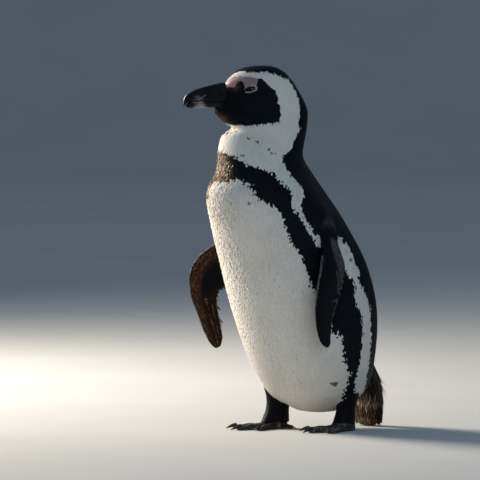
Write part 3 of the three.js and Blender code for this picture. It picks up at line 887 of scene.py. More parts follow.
def turned(lie, rng, count, spread):
    """A lie with each feather turned a little its own way."""
    turn = rng.normal(0, spread, count)[:, None]

    def way(places, normals):
        straight = unit(lie(places, normals))
        return straight + np.cross(normals, straight) * np.tan(turn)

    return way


FEATHER_Z = [20, 330, 400, 440, 511]
FEATHER_LENGTH, FEATHER_WIDTH = [11, 11, 8.5, 6.0, 5.5], [3.9, 3.9, 3.2, 2.4, 2.2]
WORN_WIDTH = 0.65  # a worn feather's width, of a whole one's
BODY_SPAN = (0.004, 0.997)
LIMB_SPAN = (0.01, 0.99)
SHOULDER_Z, SHOULDER_ASIDE = (250, 320), 50  # where flippers may cover the body
LEG_TOP, TAIL_TOP, TAIL_FROM = 80, 120, 60  # where legs and the tail may
LID_BARE = 2.6  # width of bare skin round the lids
WORN_BREAST_TOP, BOTTOM_DARKER_Z = 405, (60, 130)
# The coat's pieces on the body: heights and degrees round between which each grows.
COAT_REGIONS = {
    "coat_head": (450, 600, 0, 181),
    "coat_face": (412, 450, 0, 181),
    "coat_neck": (352, 412, 0, 181),
    "coat_breast": (235, 352, 0, 66),
    "coat_belly": (0, 235, 0, 66),
    "coat_flanks_upper": (200, 352, 66, 122),
    "coat_flanks_lower": (0, 200, 66, 122),
    "coat_back_upper": (200, 352, 122, 181),
    "coat_back_lower": (0, 200, 122, 181),
}


def body_roots(coat, rng):
    """All roots on body, neck and head, thinned where other parts stand."""
    pitches = [coat.body_pitch, coat.body_pitch, coat.neck_pitch, coat.head_pitch, coat.head_pitch]

    def pitch(place):
        return np.interp(place[2], FEATHER_Z, pitches) / MM

    share, angle = sow(body_form, pitch, rng, BODY_SPAN)
    roots = body_form(share, angle)
    along, aside = head_place(roots)
    z = roots[:, 2]
    keep = np.ones(len(roots), bool)
    covered = {
        "flipper": (within(z, SHOULDER_Z) & (np.abs(roots[:, 0]) > SHOULDER_ASIDE), 1.5),
        "leg": (z < LEG_TOP, 2),
        "tail": ((z < TAIL_TOP) & (roots[:, 1] > TAIL_FROM), 2),
    }
    for limb in LIMBS:
        near, sunk = covered[kind_of(limb)]
        keep[near] &= surface(limb).depth(roots[near]) < sunk
    # Bill, bare skin and eyes carry no feathers.
    upper, lower = np.array(UPPER_BILL, float), np.array(LOWER_BILL, float)
    top = np.interp(along, upper[:, 0], upper[:, 1])
    low = np.interp(along, lower[:, 0], lower[:, 2])
    half = np.interp(along, upper[:, 0], upper[:, 3])
    keep &= ~((along > 40) & (z < top - 1.2) & (z > low + 0.6) & (np.abs(aside) < half))
    inner = near_outline(BARE_SKIN, along, z) > 1.0
    keep &= ~(in_bare_skin(along, z) & inner & (z > HEAD_FROM))
    for side in (-1, 1):
        ahead, u, v = lid_place(side, roots)
        tall = np.where(v > 0, LID_OVER + LID_BARE, LID_UNDER + 1.9)
        keep &= ~((ahead > 0) & ((u / (LID_LONG + LID_BARE)) ** 2 + (v / tall) ** 2 < 1))
    return share[keep], angle[keep], roots[keep]


def near_face(roots):
    """How near the bill roots stand, from 0 to 1, and which are in the black of the face."""
    along, _ = head_place(roots)
    z = roots[:, 2]
    near_bill = smooth_step(28, 60, along) * smooth_step(425, 440, z)
    return near_bill, inside_outline(FACE_BLACK, along, z) & (z > 424)


def body_sizes(roots, rng):
    """Length and width of each feather, and which ones would reach over bare skin."""
    count = len(roots)
    z = roots[:, 2]
    near_bill, in_face = near_face(roots)
    length = np.interp(z, FEATHER_Z, FEATHER_LENGTH) * rng.uniform(0.85, 1.15, count)
    width = np.interp(z, FEATHER_Z, FEATHER_WIDTH) * rng.uniform(0.85, 1.15, count)
    length *= (1 - 0.28 * near_bill) * np.where(in_face, 0.95, 1.0)
    width *= (1 - 0.12 * near_bill) * np.where(in_face, 0.92, 1.0)
    tip_along, _ = head_place(roots - HEAD_AHEAD * length[:, None] * 0.9 - UP * 1.5)
    into_bare = in_bare_skin(tip_along, z - 1.5) & (z > HEAD_FROM)
    return np.where(into_bare, length * 0.45, length), width, into_bare


def body_lift(coat, roots, degrees, worn, rng):
    """How far tips stand off: in small clumps ahead on the breast, and close elsewhere."""
    count = len(roots)
    z = roots[:, 2]
    tuft = wobble(roots * [1.9, 1.9, 1.3] + 40, 0.5)
    clumped = plateau(-75, -45, 0, 34, degrees) * plateau(150, 240, 395, 420, z)
    lift = rng.normal(-0.05, coat.ruffle / MM, count) * np.interp(z, [380, 440], [1, 0.5])
    lift += clumped * (0.7 * np.maximum(tuft, 0) + rng.normal(0, 0.28, count))
    return lift + worn * np.abs(rng.normal(0, 0.4, count))


def body_looks(roots, tips, at_root, worn, into_bare, rng):
    """Each feather's looks, from the markings at its root, as given, and at its tip."""
    count = len(roots)
    z = roots[:, 2]
    near_bill, in_face = near_face(roots)
    dark_root, rust, _ = at_root
    dark, _, tip_bare = markings(tips, np.interp(z, *EDGE_STRAY), rng)
    dark = np.where((tip_bare > 0.1) | into_bare, dark_root, dark)
    # Worn feathers of the breast band are dark, tan or now and then white, each by chance.
    worn_breast = worn & (z < WORN_BREAST_TOP)
    chance = rng.uniform(0, 1, count)
    tangle = 0.5 + 0.3 * wobble(roots * [2.3, 2.3, 1.9] - 25, 0.6) + rng.normal(0, 0.22, count)
    chance = np.where(worn_breast, np.clip(tangle, 0, 1), chance)
    dark = np.where(worn_breast & (rng.uniform(0, 1, count) < 0.09), 0.0, dark)
    # The lower belly is a little darker and warmer towards the bottom.
    toward_bottom = 1 - smooth_step(*BOTTOM_DARKER_Z, z)
    dark = np.where(dark < 0.5, np.maximum(dark, 0.08 * toward_bottom * rng.uniform(0, 1, count)), dark)
    tone = rng.uniform(0, 1, count) + 0.5 * toward_bottom
    return {
        "dark": dark,
        "rust": rust,
        # Near the bill the dark feathers' slate tips are dulled: painted shade on the front of the
        # face.
        "tone": tone * np.where(in_face, 1 - 0.85 * near_bill, 1.0),
        "speckle": rust * chance * np.where(worn_breast, 1.0, 0.62),
    }


def body_coat(context, seed):
    """Feathers of head, neck and trunk, in pieces by where they grow."""
    coat = context.scene.penguin_coat
    rng = np.random.default_rng(seed)
    share, angle, roots = body_roots(coat, rng)
    count = len(roots)
    z = roots[:, 2]
    degrees = np.degrees(np.angle(np.exp(1j * angle)))
    length, width, into_bare = body_sizes(roots, rng)
    at_root = markings(roots, np.interp(z, *EDGE_STRAY), rng)
    worn = (at_root[1] > 0.3) & (z > WORN_CHEST_Z[0])
    width = np.where(worn, width * WORN_WIDTH, width)
    depth = (coat_depth(roots) - BARE_DEPTH).clip(0.25) * rng.uniform(0.9, 1.0, count)
    depth = np.where(z > 430, np.minimum(depth, 0.2 * length), depth)
    lie = turned(body_lie, rng, count, coat.scatter * 1.3)
    stations, normals = lay_feathers(surface("body"), roots, lie, length)
    stations = stations - normals * relief(stations)[..., None]
    for limb in MELTS:
        stations, normals = melt(stations, normals, "body", limb)
    lift = body_lift(coat, roots, degrees, worn, rng)
    looks = body_looks(roots, stations[:, 2], at_root, worn, into_bare, rng)
    material = plumage_material(coat)
    for name, (low, high, first, past) in COAT_REGIONS.items():
        chosen = (z > low) & (z <= high) & (np.abs(degrees) >= first) & (np.abs(degrees) < past)
        turn = (degrees + 360) % 360 if "back" in name else degrees
        uv = np.stack([turn[chosen], share[chosen]], axis=1)
        uv = (uv - uv.min(axis=0)) / np.ptp(uv, axis=0)
        parts = (part[chosen] for part in (stations, normals, width, depth, lift))
        chosen_looks = {look: values[chosen] for look, values in looks.items()}
        mesh = vane_mesh(name, *parts, uv, chosen_looks)
        finish_piece(add_object(mesh, material), "plumage")


def limb_coat(context, limb, sizes, lie, keep, looks_at, seed):
    """Feathers of one flipper, leg or the tail.

    sizes gives length, width, depth and lift, and for a flipper how far each tip stands aside.
    """
    coat, form = context.scene.penguin_coat, LIMBS[limb]
    pitch = getattr(coat, f"{kind_of(limb)}_pitch") / MM
    rng = np.random.default_rng(seed)
    share, angle = sow(form, lambda place: pitch, rng, LIMB_SPAN)
    roots = form(share, angle)
    chosen = keep(angle, roots)
    share, angle, roots = share[chosen], angle[chosen], roots[chosen]
    count = len(roots)
    length, width, depth, lift, *stand = sizes(share, angle, roots, rng)
    lie = turned(lie, rng, count, coat.scatter)
    stations, normals = lay_feathers(surface(limb), roots, lie, length)
    stations, normals = melt(stations, normals, limb, "body")
    for off in stand:
        stations = stations + off[:, None, :] * VANE_STATIONS[None, :, None] ** 2
    looks = looks_at(share, angle, stations[:, 2], rng)
    uv = np.stack([angle / FULL_TURN % 1, share], axis=1)
    mesh = vane_mesh(f"coat_{limb}", stations, normals, width, depth, lift, uv, looks)
    finish_piece(add_object(mesh, plumage_material(coat)), "plumage")


def flipper_coat(context, side_name, seed):
    """Feathers of one flipper, each side with its own wear."""
    side = 1 if side_name == "left" else -1
    wear = FLIPPER_WEAR_AND_LIGHT[side_name]
    curve = curve_through(LEFT_FLIPPER if side > 0 else RIGHT_FLIPPER, [0, 1, 2])
    shares = np.linspace(0, 1, 60)
    middles = curve(shares)[:, :3]

    def lie(places, normals):
        away = np.linalg.norm(places[:, None, :] - middles[None, :, :], axis=2)
        nearest = np.argmin(away, axis=1)
        way = unit(curve(shares[nearest] + 0.02)[:, :3] - curve(shares[nearest] - 0.02)[:, :3])
        row = curve(shares[nearest])
        lead = unit(row[:, 5:8])
        behind = -np.sum((places - middles[nearest]) * lead, axis=1) / (row[:, 3] / 2)
        return way - (0.22 + 0.75 * smooth_step(0.75, 1.0, behind))[:, None] * lead

    def keep(angle, roots):
        return surface("body").depth(roots) < 1.2

    def sizes(share, angle, roots, rng):
        count = len(roots)
        long, wide, deep = FLIPPER_FEATHER
        small = np.interp(share, [0, 0.25, 1], [1.5, 1.0, 0.85])
        trailing = np.cos(angle) < TRAILING
        longer = np.where(rng.uniform(0, 1, count) < 0.3, 1.75, 1.25)
        longer = np.where(trailing & (share > 0.4), longer, 1)
        length = long * small * rng.uniform(0.9, 1.1, count) * longer
        length = np.minimum(length, (0.995 - share) * FLIPPER_REACH)
        lift = rng.normal(0.0, 0.1, count)
        width = wide * small * rng.uniform(0.9, 1.1, count)
        # Tips that stand out behind, in a ragged bunch under the bend of the flipper held out.
        fringe = trailing & within(share, FRINGE)
        fringe &= rng.uniform(0, 1, count) < wear["fringe"]
        bunch = fringe & (side < 0) & within(roots[:, 2], BUNCH_Z)
        bunch &= rng.uniform(0, 1, count) < 0.5
        length = np.where(bunch, rng.uniform(8, 12, count), length)
        width = np.where(bunch, rng.uniform(2.8, 4.2, count), width)
        stand = np.where(bunch, rng.uniform(2.5, 6.5, count), fringe * rng.uniform(0.4, 1.4, count))
        stand = -unit(curve(share)[:, 5:8]) * stand[:, None]
        return np.maximum(length, 1.2), width, np.full(count, deep), lift, stand

    def looks_at(share, angle, tips, rng):
        count = len(share)
        lead = np.cos(angle)
        outer = -side * np.sin(angle) > 0
        edge = (lead > 0.965) & within(share, wear["edge"])
        pale = edge * rng.uniform(0.15, 0.6, count)
        # Outside: a duller slate field towards the trailing edge, partly own colour and partly
        # painted sheen, with two thin pale lines, partly scratches and partly painted glints.
        across, down = lead * MARKS_HALF, share * MARKS_LENGTH
        field = inside_outline(SLATE_FIELD, across, down)
        field = field * smooth_step(-1, 8, near_outline(SLATE_FIELD, across, down))
        field = field * wear["field"] * rng.uniform(0.08, 0.36, count)
        lines = [near_line(line, across, down) < half for half, line in SLATE_LINES]
        lines = np.any(lines, axis=0) * wear["lined"] * rng.uniform(0.1, 0.4, count)
        marks = np.maximum(field, lines)
        # A pale painted highlight on the shoulder.
        scuff = np.exp(-(((share - SHOULDER_HIGHLIGHT_SHARE) / SHOULDER_HIGHLIGHT_SPREAD) ** 2)) * wear["lined"]
        scuff = scuff * rng.uniform(0.03, 0.17, count)
        pale = np.maximum(pale, np.maximum(marks * outer, scuff))
        # Underside: a brown band behind the leading edge, near black behind it, streaks to the tip.
        band = smooth_step(0.2, 0.5, lead + rng.normal(0, 0.07, count))
        low = smooth_step(0.5, 0.66, share)
        wave = np.sin(lead * 13 + 3 * share + side) + 0.5 * np.sin(lead * 29 - 5 * share)
        wave += 0.4 * np.sin(share * 41 + lead * 6)
        streak = (~outer) & (wave + rng.normal(0, 0.2, count) > 1.0) & (lead < 0.35) & (low > 0.6)
        # Pale trailing tips: partly worn and partly painted sunlight on them.
        pale_tips = (lead < TRAILING) & within(share, wear["tips"])
        pale_tips &= rng.uniform(0, 1, count) < wear["tip_chance"]
        pale_tips = pale_tips * rng.uniform(*wear["tip_pale"], count)
        dark = 1 - np.maximum(pale * 0.4, pale_tips)
        brown = np.maximum(0.72 * band, 0.3 * low)
        if side > 0:
            brown *= np.interp(share, [0.25, 0.55], [0.1, 1])
        rust = np.where(outer, 0.0, brown)
        tone = rng.uniform(0, 1, count) * np.where(outer, 1, np.maximum(0.25, 0.8 * band))
        worn = band * (lead < 0.92) * (share > 0.08) * (rng.uniform(0, 1, count) < 0.4)
        streak = streak * rng.uniform(0.48, 0.64, count)
        worn = worn * rng.uniform(0.46, 0.53, count)
        speckle = np.where(outer, 0.0, np.where(streak > 0, streak, worn))
        return {"dark": dark, "rust": rust, "tone": tone, "speckle": speckle}

    limb_coat(context, f"flipper_{side_name}", sizes, lie, keep, looks_at, seed)


def downward(places, normals):
    return np.tile(-UP, (len(places), 1))


LEG_FEATHER = (6.5, 2.5)  # length and width


def leg_coat(context, side_name, seed):
    """Short dark feathers of one leg, down to an uneven edge over the foot."""

    def keep(angle, roots):
        return (surface("body").depth(roots) < 3) & (roots[:, 2] > 12 + 3 * np.sin(angle * 5))

    def sizes(share, angle, roots, rng):
        count = len(roots)
        z = roots[:, 2]
        length = LEG_FEATHER[0] * rng.uniform(0.85, 1.15, count)
        length = np.minimum(length, z - rng.uniform(5, 8, count))
        depth = np.interp(z, [14, 36], [0.45, 1.0])
        lift = rng.normal(0, 0.2, count) - np.interp(z, [12, 22], [0.6, 0.0])
        return length, np.full(count, LEG_FEATHER[1]), depth, lift

    def looks_at(share, angle, tips, rng):
        count = len(share)
        return {
            "dark": np.full(count, 1.0),
            "rust": np.full(count, 0.1),
            "tone": rng.uniform(0, 1, count),
            "speckle": np.zeros(count),
        }

    limb_coat(context, f"leg_{side_name}", sizes, downward, keep, looks_at, seed)


TAIL_LEAN = np.array([0, 0.12, 0])
TAIL_LENGTHS, TAIL_WIDTHS, TAIL_DEPTH = [20, 58], [1.9, 3.8], 2.2  # in front and behind
WISP_Z, WISP_LIFT, WISP_LENGTH, WISP_WIDTH = (64, 86), (7, 15), (18, 28), 1.4


def tail_coat(context, seed):
    """Stiff narrow tail feathers behind, hairy coverts in front, and a few loose wisps."""

    def keep(angle, roots):
        return (surface("body").depth(roots) < 4) & (roots[:, 2] > 12)

    def sizes(share, angle, roots, rng):
        count = len(roots)
        behind = smooth_step(-0.2, 0.4, -np.cos(angle))
        want = np.interp(behind, [0, 1], TAIL_LENGTHS) * rng.uniform(0.6, 1.15, count)
        length = np.minimum(want, roots[:, 2] - rng.uniform(1.6, 8, count))
        width = np.interp(behind, [0, 1], TAIL_WIDTHS) * rng.uniform(0.75, 1.15, count)
        lift = np.abs(rng.normal(0, 0.9, count))
        lift += (rng.uniform(0, 1, count) < 0.14) * rng.uniform(1.5, 4.5, count)
        lift += 3.5 * (1 - smooth_step(3, 26, roots[:, 2] - length))
        # A few worn wisps stand off the back of the tail.
        high = within(roots[:, 2], WISP_Z)
        wisp = (behind > 0.9) & high & (rng.uniform(0, 1, count) < 0.07)
        lift = np.where(wisp, rng.uniform(*WISP_LIFT, count), lift)
        width = np.where(wisp, WISP_WIDTH, width)
        length = np.where(wisp, rng.uniform(*WISP_LENGTH, count), length)
        return np.maximum(length, 3), width, np.full(count, TAIL_DEPTH), lift

    def looks_at(share, angle, tips, rng):
        count = len(share)
        behind = smooth_step(-0.35, 0.1, -np.cos(angle) + rng.normal(0, 0.12, count))
        z = tips[:, 2] + rng.normal(0, 3, count)
        # The coverts in front: dusky above, a bleached tangle, then deep rust at the bottom.
        bleached = plateau(22, 27, 34, 41, z)
        low = 1 - smooth_step(20, 26, z)
        chance = rng.uniform(0, 1, count)
        rust = np.where(behind > 0.5, 0.3, 0.4 + 0.6 * np.maximum(low, bleached))
        speckle = (1 - behind) * (bleached * (0.4 + 0.5 * chance) + low * 0.62 * chance**2)
        speckle = np.maximum(speckle, 0.56 * chance**4)
        faded = 0.3 * (1 - behind) * bleached * chance**2
        dark = 1 - 0.09 * rng.uniform(0, 1, count) ** 2 * (1 - low) - faded
        return {"dark": dark, "rust": rust, "tone": rng.uniform(0, 1, count), "speckle": speckle}

    def lie(places, normals):
        return downward(places, normals) + TAIL_LEAN

    limb_coat(context, "tail", sizes, lie, keep, looks_at, seed)


# ---------- skin, eyes, bill and claws ----------


SKIN_RINGS, SKIN_SIDES, SKIN_SPAN = 230, 160, (0.004, 0.996)
SKIN_ENDS = (2.5, 1.6)  # how far inside the form the skin ends, below and at the crown
# Rings and sides of each limb's skin, and how far it lies inside the limb's form.
LIMB_SKINS = {"flipper": (100, 48, 0.95), "tail": (30, 48, 1.8), "leg": (36, 40, 1.0)}


def body_skin():
    """The skin of head, neck and trunk, at the coat's depth under the feather tips."""
    share = np.linspace(*SKIN_SPAN, SKIN_RINGS)[:, None]
    rings = body_form(*np.broadcast_arrays(share, turns(SKIN_SIDES)[None, :]))
    round_way = np.roll(rings, -1, axis=1) - np.roll(rings, 1, axis=1)
    along_way = np.gradient(rings, axis=0)
    normals = unit(np.cross(round_way, along_way))
    middle = rings.mean(axis=1, keepdims=True)
    normals *= np.sign(np.mean(np.sum(normals * (rings - middle), axis=-1)))
    rings = rings - normals * (coat_depth(rings) + relief(rings))[..., None]
    ends = body_form(np.array([0.0, 1.0]), np.zeros(2))
    return loft(rings, ends[0] + UP * SKIN_ENDS[0], ends[1] - UP * SKIN_ENDS[1])


def limb_skin(limb):
    rings, sides, inset = LIMB_SKINS[kind_of(limb)]
    points, faces = grid_loft(LIMBS[limb], rings, sides)
    mesh = bpy.data.meshes.new("inset")
    mesh.from_pydata(points.tolist(), [], faces)
    normals = np.empty(len(points) * 3, np.float32)
    mesh.vertices.foreach_get("normal", normals)
    bpy.data.meshes.remove(mesh)
    return points - normals.reshape(-1, 3) * inset, faces


TOE_RINGS, TOE_SIDES = 26, 20


def toe_shape(toe):
    """A toe with low knuckles, a blunt end and a flat sole."""
    share, turn = np.linspace(0, 1, TOE_RINGS)[:, None], turns(TOE_SIDES)[None, :]
    round_ = np.sqrt(np.maximum(1 - np.maximum(share - 0.8, 0) ** 2 / 0.05, 0.12))
    knuckle = 1 + 0.07 * np.cos(share * 6 * math.pi)
    half = toe["width"] / 2 * (1.15 - 0.3 * share) * round_ * knuckle - 0.15
    high = toe["height"] * (1.08 - 0.43 * share) * np.sqrt(round_) * knuckle - 0.2
    up = (np.maximum(np.sin(turn), -0.35) + 0.35) / 1.35 * high
    rings = np.stack(np.broadcast_arrays(half * np.cos(turn), share * toe["length"], up), axis=-1)
    return loft(rings @ level_turn(toe["angle"]).T)


def level_turn(degrees):
    c, s = math.cos(math.radians(degrees)), math.sin(math.radians(degrees))
    return np.array([[c, -s, 0], [s, c, 0], [0, 0, 1.0]])


WEB_ARC = 13  # points on each scalloped edge


def web_shape():
    """The flat web between the three front toes, its front edge hollow from toe to toe."""
    def tip(name, reach):
        toe = TOES[name]
        return (level_turn(toe["angle"]) @ np.array([0, toe["length"] * reach, 0]))[:2]

    outline = [tip(FRONT_TOES[0], WEB_REACH)]
    share = np.linspace(0, 1, WEB_ARC)[1:, None]
    for before, after in zip(FRONT_TOES, FRONT_TOES[1:]):
        start, end = tip(before, WEB_REACH), tip(after, WEB_REACH)
        hollow = (tip(before, WEB_SCALLOP) + tip(after, WEB_SCALLOP)) / 2
        left = 1 - share
        outline += list(left**2 * start + 2 * share * left * hollow + share**2 * end)
    outline = np.array([[0, 0], *outline])
    low = np.column_stack([outline, np.zeros(len(outline))])
    points = np.concatenate([low, low + UP * (WEB_THICK - 0.6)])
    n = len(outline)
    faces = [(0, k + 1, k) for k in range(1, n - 1)]
    faces += [(n, n + k, n + k + 1) for k in range(1, n - 1)]
    faces += [(k, (k + 1) % n, n + (k + 1) % n, n + k) for k in range(n)]
    return points, faces


def ankle_shape():
    turn = turns(28)
    rings = []
    for z, inset in ((0, 0.4), (4, 0.2), (8, 0.6), (ANKLE_HEIGHT - 0.4, 1.6)):
        x = (ANKLE_HALF - inset) * np.cos(turn)
        y = ANKLE_LEAN + (ANKLE_REACH - inset) * np.sin(turn)
        rings.append(np.stack([x, y, np.full(len(turn), float(z))], axis=-1))
    return loft(rings)


FOOT_VOXEL = 0.0008
FOOT_SOFTEN = (0.6, 4)  # strength and number of smoothing turns
SOLE_FLAT = 0.45  # points lower than this are set on the ground


def foot_skin(stance):
    """Toes, webs and ankle of one foot, melted into one form that stands flat."""
    shapes = [toe_shape(toe) for toe in TOES.values()] + [web_shape(), ankle_shape()]
    points, faces = joined(shapes)
    mesh = mesh_of("foot", planted(points, stance), faces)
    if stance["side"] > 0:
        mesh.flip_normals()
    piece = add_object(mesh)
    remesh = piece.modifiers.new("melt", "REMESH")
    remesh.mode = "VOXEL"
    remesh.voxel_size = FOOT_VOXEL
    soften = piece.modifiers.new("soften", "SMOOTH")
    soften.factor, soften.iterations = FOOT_SOFTEN
    with_modifiers(piece)
    melted = mesh_points(piece.data)
    melted[:, 2] = np.where(melted[:, 2] < SOLE_FLAT, 0.0, melted[:, 2])
    set_points(piece.data, melted)
    return piece


LID_SIDES, LID_RINGS = 72, 12
LID_REACH = 9.7  # how far the cap reaches from the middle of the opening


def lid_opening(turn, long, over, under):
    """The almond between the lids, on the lids' own two axes."""
    sin = np.sin(turn)
    y = np.where(sin > 0, over * np.abs(sin) ** 0.75, -under * np.abs(sin) ** 0.9)
    return long * np.cos(turn) + LID_AHEAD, y + LID_UP


def lid_shape(side):
    """Both lids of one eye: a thin cap on the eyeball with an almond opening and a raised rim."""
    centre, way, level_axis, upright = gaze(side)
    turn = turns(LID_SIDES)
    x, y = lid_opening(turn, LID_LONG, LID_OVER, LID_UNDER)
    outer_rings, inner_rings = [], []
    for f in np.linspace(0, 1, LID_RINGS):
        px = x + (LID_REACH * np.cos(turn) - x) * f
        py = y + (LID_REACH * np.sin(turn) - y) * f
        rim = 0.5 * np.exp(-(((f - 0.14) / 0.13) ** 2)) * np.where(np.sin(turn) > 0, 0.65, 1.1)
        fold = 0.12 * math.cos(f * 26) * (f > 0.2)
        radius = EYE_RADIUS + 0.28 + rim + fold
        inner = np.full(LID_SIDES, EYE_RADIUS - 0.15)
        for rings, r in ((outer_rings, radius), (inner_rings, inner)):
            ahead = np.sqrt(np.maximum(r**2 - px**2 - py**2, 4))
            ring = centre + way * ahead[:, None]
            rings.append(ring + level_axis * px[:, None] + upright * py[:, None])
    points = np.concatenate(outer_rings + inner_rings[::-1])
    starts = [ring * LID_SIDES for ring in range(2 * LID_RINGS)]
    return points, outward(points, band_faces([*starts, 0], LID_SIDES))


def lid_shaft(side):
    """The opening between the lids as a short shaft to cut with."""
    centre, way, level_axis, upright = gaze(side)
    x, y = lid_opening(turns(48), LID_LONG + 0.4, LID_OVER + 0.5, LID_UNDER + 0.5)
    plane = level_axis * x[:, None] + upright * y[:, None]
    return loft([centre + way * ahead + plane for ahead in (4.0, 20.0)])


SOCKET_RINGS, EYE_RINGS = (40, 56), (64, 96)  # rings and points in each


def ball_shape(centre, radius, way, rings, sides):
    side_axis = unit(np.cross(way, UP))
    third = np.cross(way, side_axis)
    polar, turn = np.linspace(0, math.pi, rings + 2)[1:-1, None], turns(sides)[None, :]
    ring = (
        way * np.cos(polar)[..., None]
        + side_axis * (np.sin(polar) * np.cos(turn))[..., None]
        + third * (np.sin(polar) * np.sin(turn))[..., None]
    )
    return loft(centre + ring * radius, centre + way * radius, centre - way * radius)


FLESH = ["head", "neck", "trunk", "tail", "flipper_left", "flipper_right"]
FLESH += [f"{part}_{side}" for part in ("leg", "foot") for side in ("left", "right")]


def melt_skin(points):
    """Fills the hollows round the limbs as the coat over them does."""
    points = points.copy()
    body = surface("body")
    for limb, (reach, low, high) in MELTS.items():
        form = surface(limb)
        near = np.all((points > form.low - reach) & (points < form.high + reach), axis=1)
        near &= points[:, 2] > low
        chosen = points[near]
        gap, facing = form.gap(chosen)
        body_gap, body_facing = body.gap(chosen)
        share = np.clip(1 - np.abs(gap - body_gap) / reach, 0, 1)
        share *= smooth_step(low, high, chosen[:, 2])
        way = unit(facing + body_facing)
        points[near] = chosen + way * (share**2 * reach / 4)[:, None]
    return points


SOCKET_SLACK = 0.05  # gap between an eyeball and its socket


def skin_form():
    """Body, limbs, tail and feet as one closed form, with sockets and lids for the eyes."""
    skin = add_object(mesh_of("skin", *body_skin()))

    def tool(shape):
        return add_object(mesh_of("tool", *shape))

    for limb in ("flipper_left", "flipper_right", "tail"):
        combine(skin, tool(limb_skin(limb)), "UNION")
    for side, stance in STANCES.items():
        combine(skin, tool(limb_skin(f"leg_{side}")), "UNION")
        combine(skin, foot_skin(stance), "UNION")
    for side in (-1, 1):
        centre, way, _, _ = gaze(side)
        socket = ball_shape(centre, EYE_RADIUS + SOCKET_SLACK, way, *SOCKET_RINGS)
        combine(skin, tool(socket), "DIFFERENCE")
        combine(skin, tool(lid_shaft(side)), "DIFFERENCE")
        combine(skin, tool(lid_shape(side)), "UNION")
    return skin


OFF_BODY = 1.5  # a point farther out than this from the body's form is on a limb
TAIL_BEHIND, FOOT_TOP = 95, 15


def mark_skin(mesh, points):
    """Where the skin is dark, rusty, bare, on a lid's rim, on the lores and on a foot."""
    dark, rust, bare = markings(points)
    off_body = surface("body").depth(points) < -OFF_BODY
    tail = off_body & (points[:, 1] > TAIL_BEHIND)
    dark = np.where(off_body, 1.0, dark)
    foot = off_body & ~tail & (points[:, 2] < FOOT_TOP)
    rim = np.zeros(len(points))
    for side in (-1, 1):
        ahead, u, v = lid_place(side, points)
        tall = np.where(v > 0, LID_OVER, LID_UNDER)
        oval = np.sqrt((u / LID_LONG) ** 2 + (v / tall) ** 2)
        near = (ahead > 3) & (np.linalg.norm(points - gaze(side)[0], axis=1) > EYE_RADIUS + 0.1)
        rim = np.maximum(rim, near * (1 - smooth_step(1.16, 1.42, oval)))
    looks = {"dark": dark, "rust": rust * ~off_body, "bare": np.maximum(bare, rim), "rim": rim}
    looks.update(lores=smooth_step(30, 38, head_place(points)[0]), foot=foot)
    for look, values in looks.items():
        set_attribute(mesh, look, values)


def make_skin(context):
    """One skin for body, head, flippers, legs and feet, under the coat."""
    skin = skin_form()
    mesh = skin.data
    points = melt_skin(mesh_points(mesh))
    set_points(mesh, points)
    mark_skin(mesh, points)
    mesh.materials.clear()
    mesh.materials.append(skin_material(context.scene.penguin_bare))
    shade_smooth(mesh)
    finish_piece(skin, "foot_skin", *FLESH)


def make_eyes(context):
    material = eye_material(context.scene.penguin_bare)
    for name, side in (("left", 1), ("right", -1)):
        centre, way, _, _ = gaze(side)
        points, faces = ball_shape(centre, EYE_RADIUS, way, *EYE_RINGS)
        mesh = mesh_of(f"eyeball_{name}", points, faces)
        off = unit(points - centre)
        set_attribute(mesh, "gaze_angle", np.degrees(np.arccos(np.clip(off @ way, -1, 1))))
        finish_piece(add_object(mesh, material), "eye", f"eye_{name}")


BILL_STEPS, BILL_SIDES = 150, 84
BILL_DOMED = int(BILL_SIDES * 0.78)  # how many of a section's points are in its dome


def bill_dents(along, z, up, upper):
    """Depth of the groove by the cutting edge, the nostril slit and fine cross ridges."""
    if upper:
        groove_z = np.interp(along, [55, 76, 90, 101, 108], [478, 471.5, 467.5, 463.8, 460])
        dent = 0.4 * np.exp(-(((z - groove_z) / 0.7) ** 2)) * smooth_step(50, 62, along)
        nostril = ((along - 68) / 3.6) ** 2 + ((z - 472.6 - 0.1 * (68 - along)) / 0.8) ** 2
        dent += 1.3 * np.exp(-(nostril**2))
        return dent + 0.16 * np.sin(along * 1.9) * smooth_step(84, 94, along) * up
    groove_z = np.interp(along, [55, 80, 100], [454.5, 455.5, 456.5])
    dent = 0.3 * np.exp(-(((z - groove_z) / 0.6) ** 2)) * (1 - smooth_step(78, 90, along))
    return dent + 0.14 * np.sin(along * 1.7) * smooth_step(80, 90, along) * up


def bill_pale(along, z, upper):
    """How pale the horn is, in the worn bands behind the hooked tip."""
    if upper:
        line_z = np.interp(along, [80, 84.6, 88.8, 96], [469.7, 466.2, 463.8, 462.6])
        pale = np.exp(-(((z - line_z) / 0.6) ** 2)) * plateau(78, 81, 95, 100, along)
        pale += 0.45 * np.exp(-((((along - 90) / 4) ** 2) + ((z - 467.2) / 2.2) ** 2))
        return pale + 0.4 * np.exp(-((((along - 86) / 4) ** 2) + ((z - 464) / 1.2) ** 2))
    up_side = z - 456
    pale = smooth_step(77, 86, along - 0.6 * up_side)
    pale *= 1 - smooth_step(87, 98, along + 0.8 * up_side)
    streak = np.exp(-(((z - 459.4) / 1.1) ** 2)) * plateau(88, 90, 95, 99, along)
    return np.maximum(pale, 0.7 * streak)


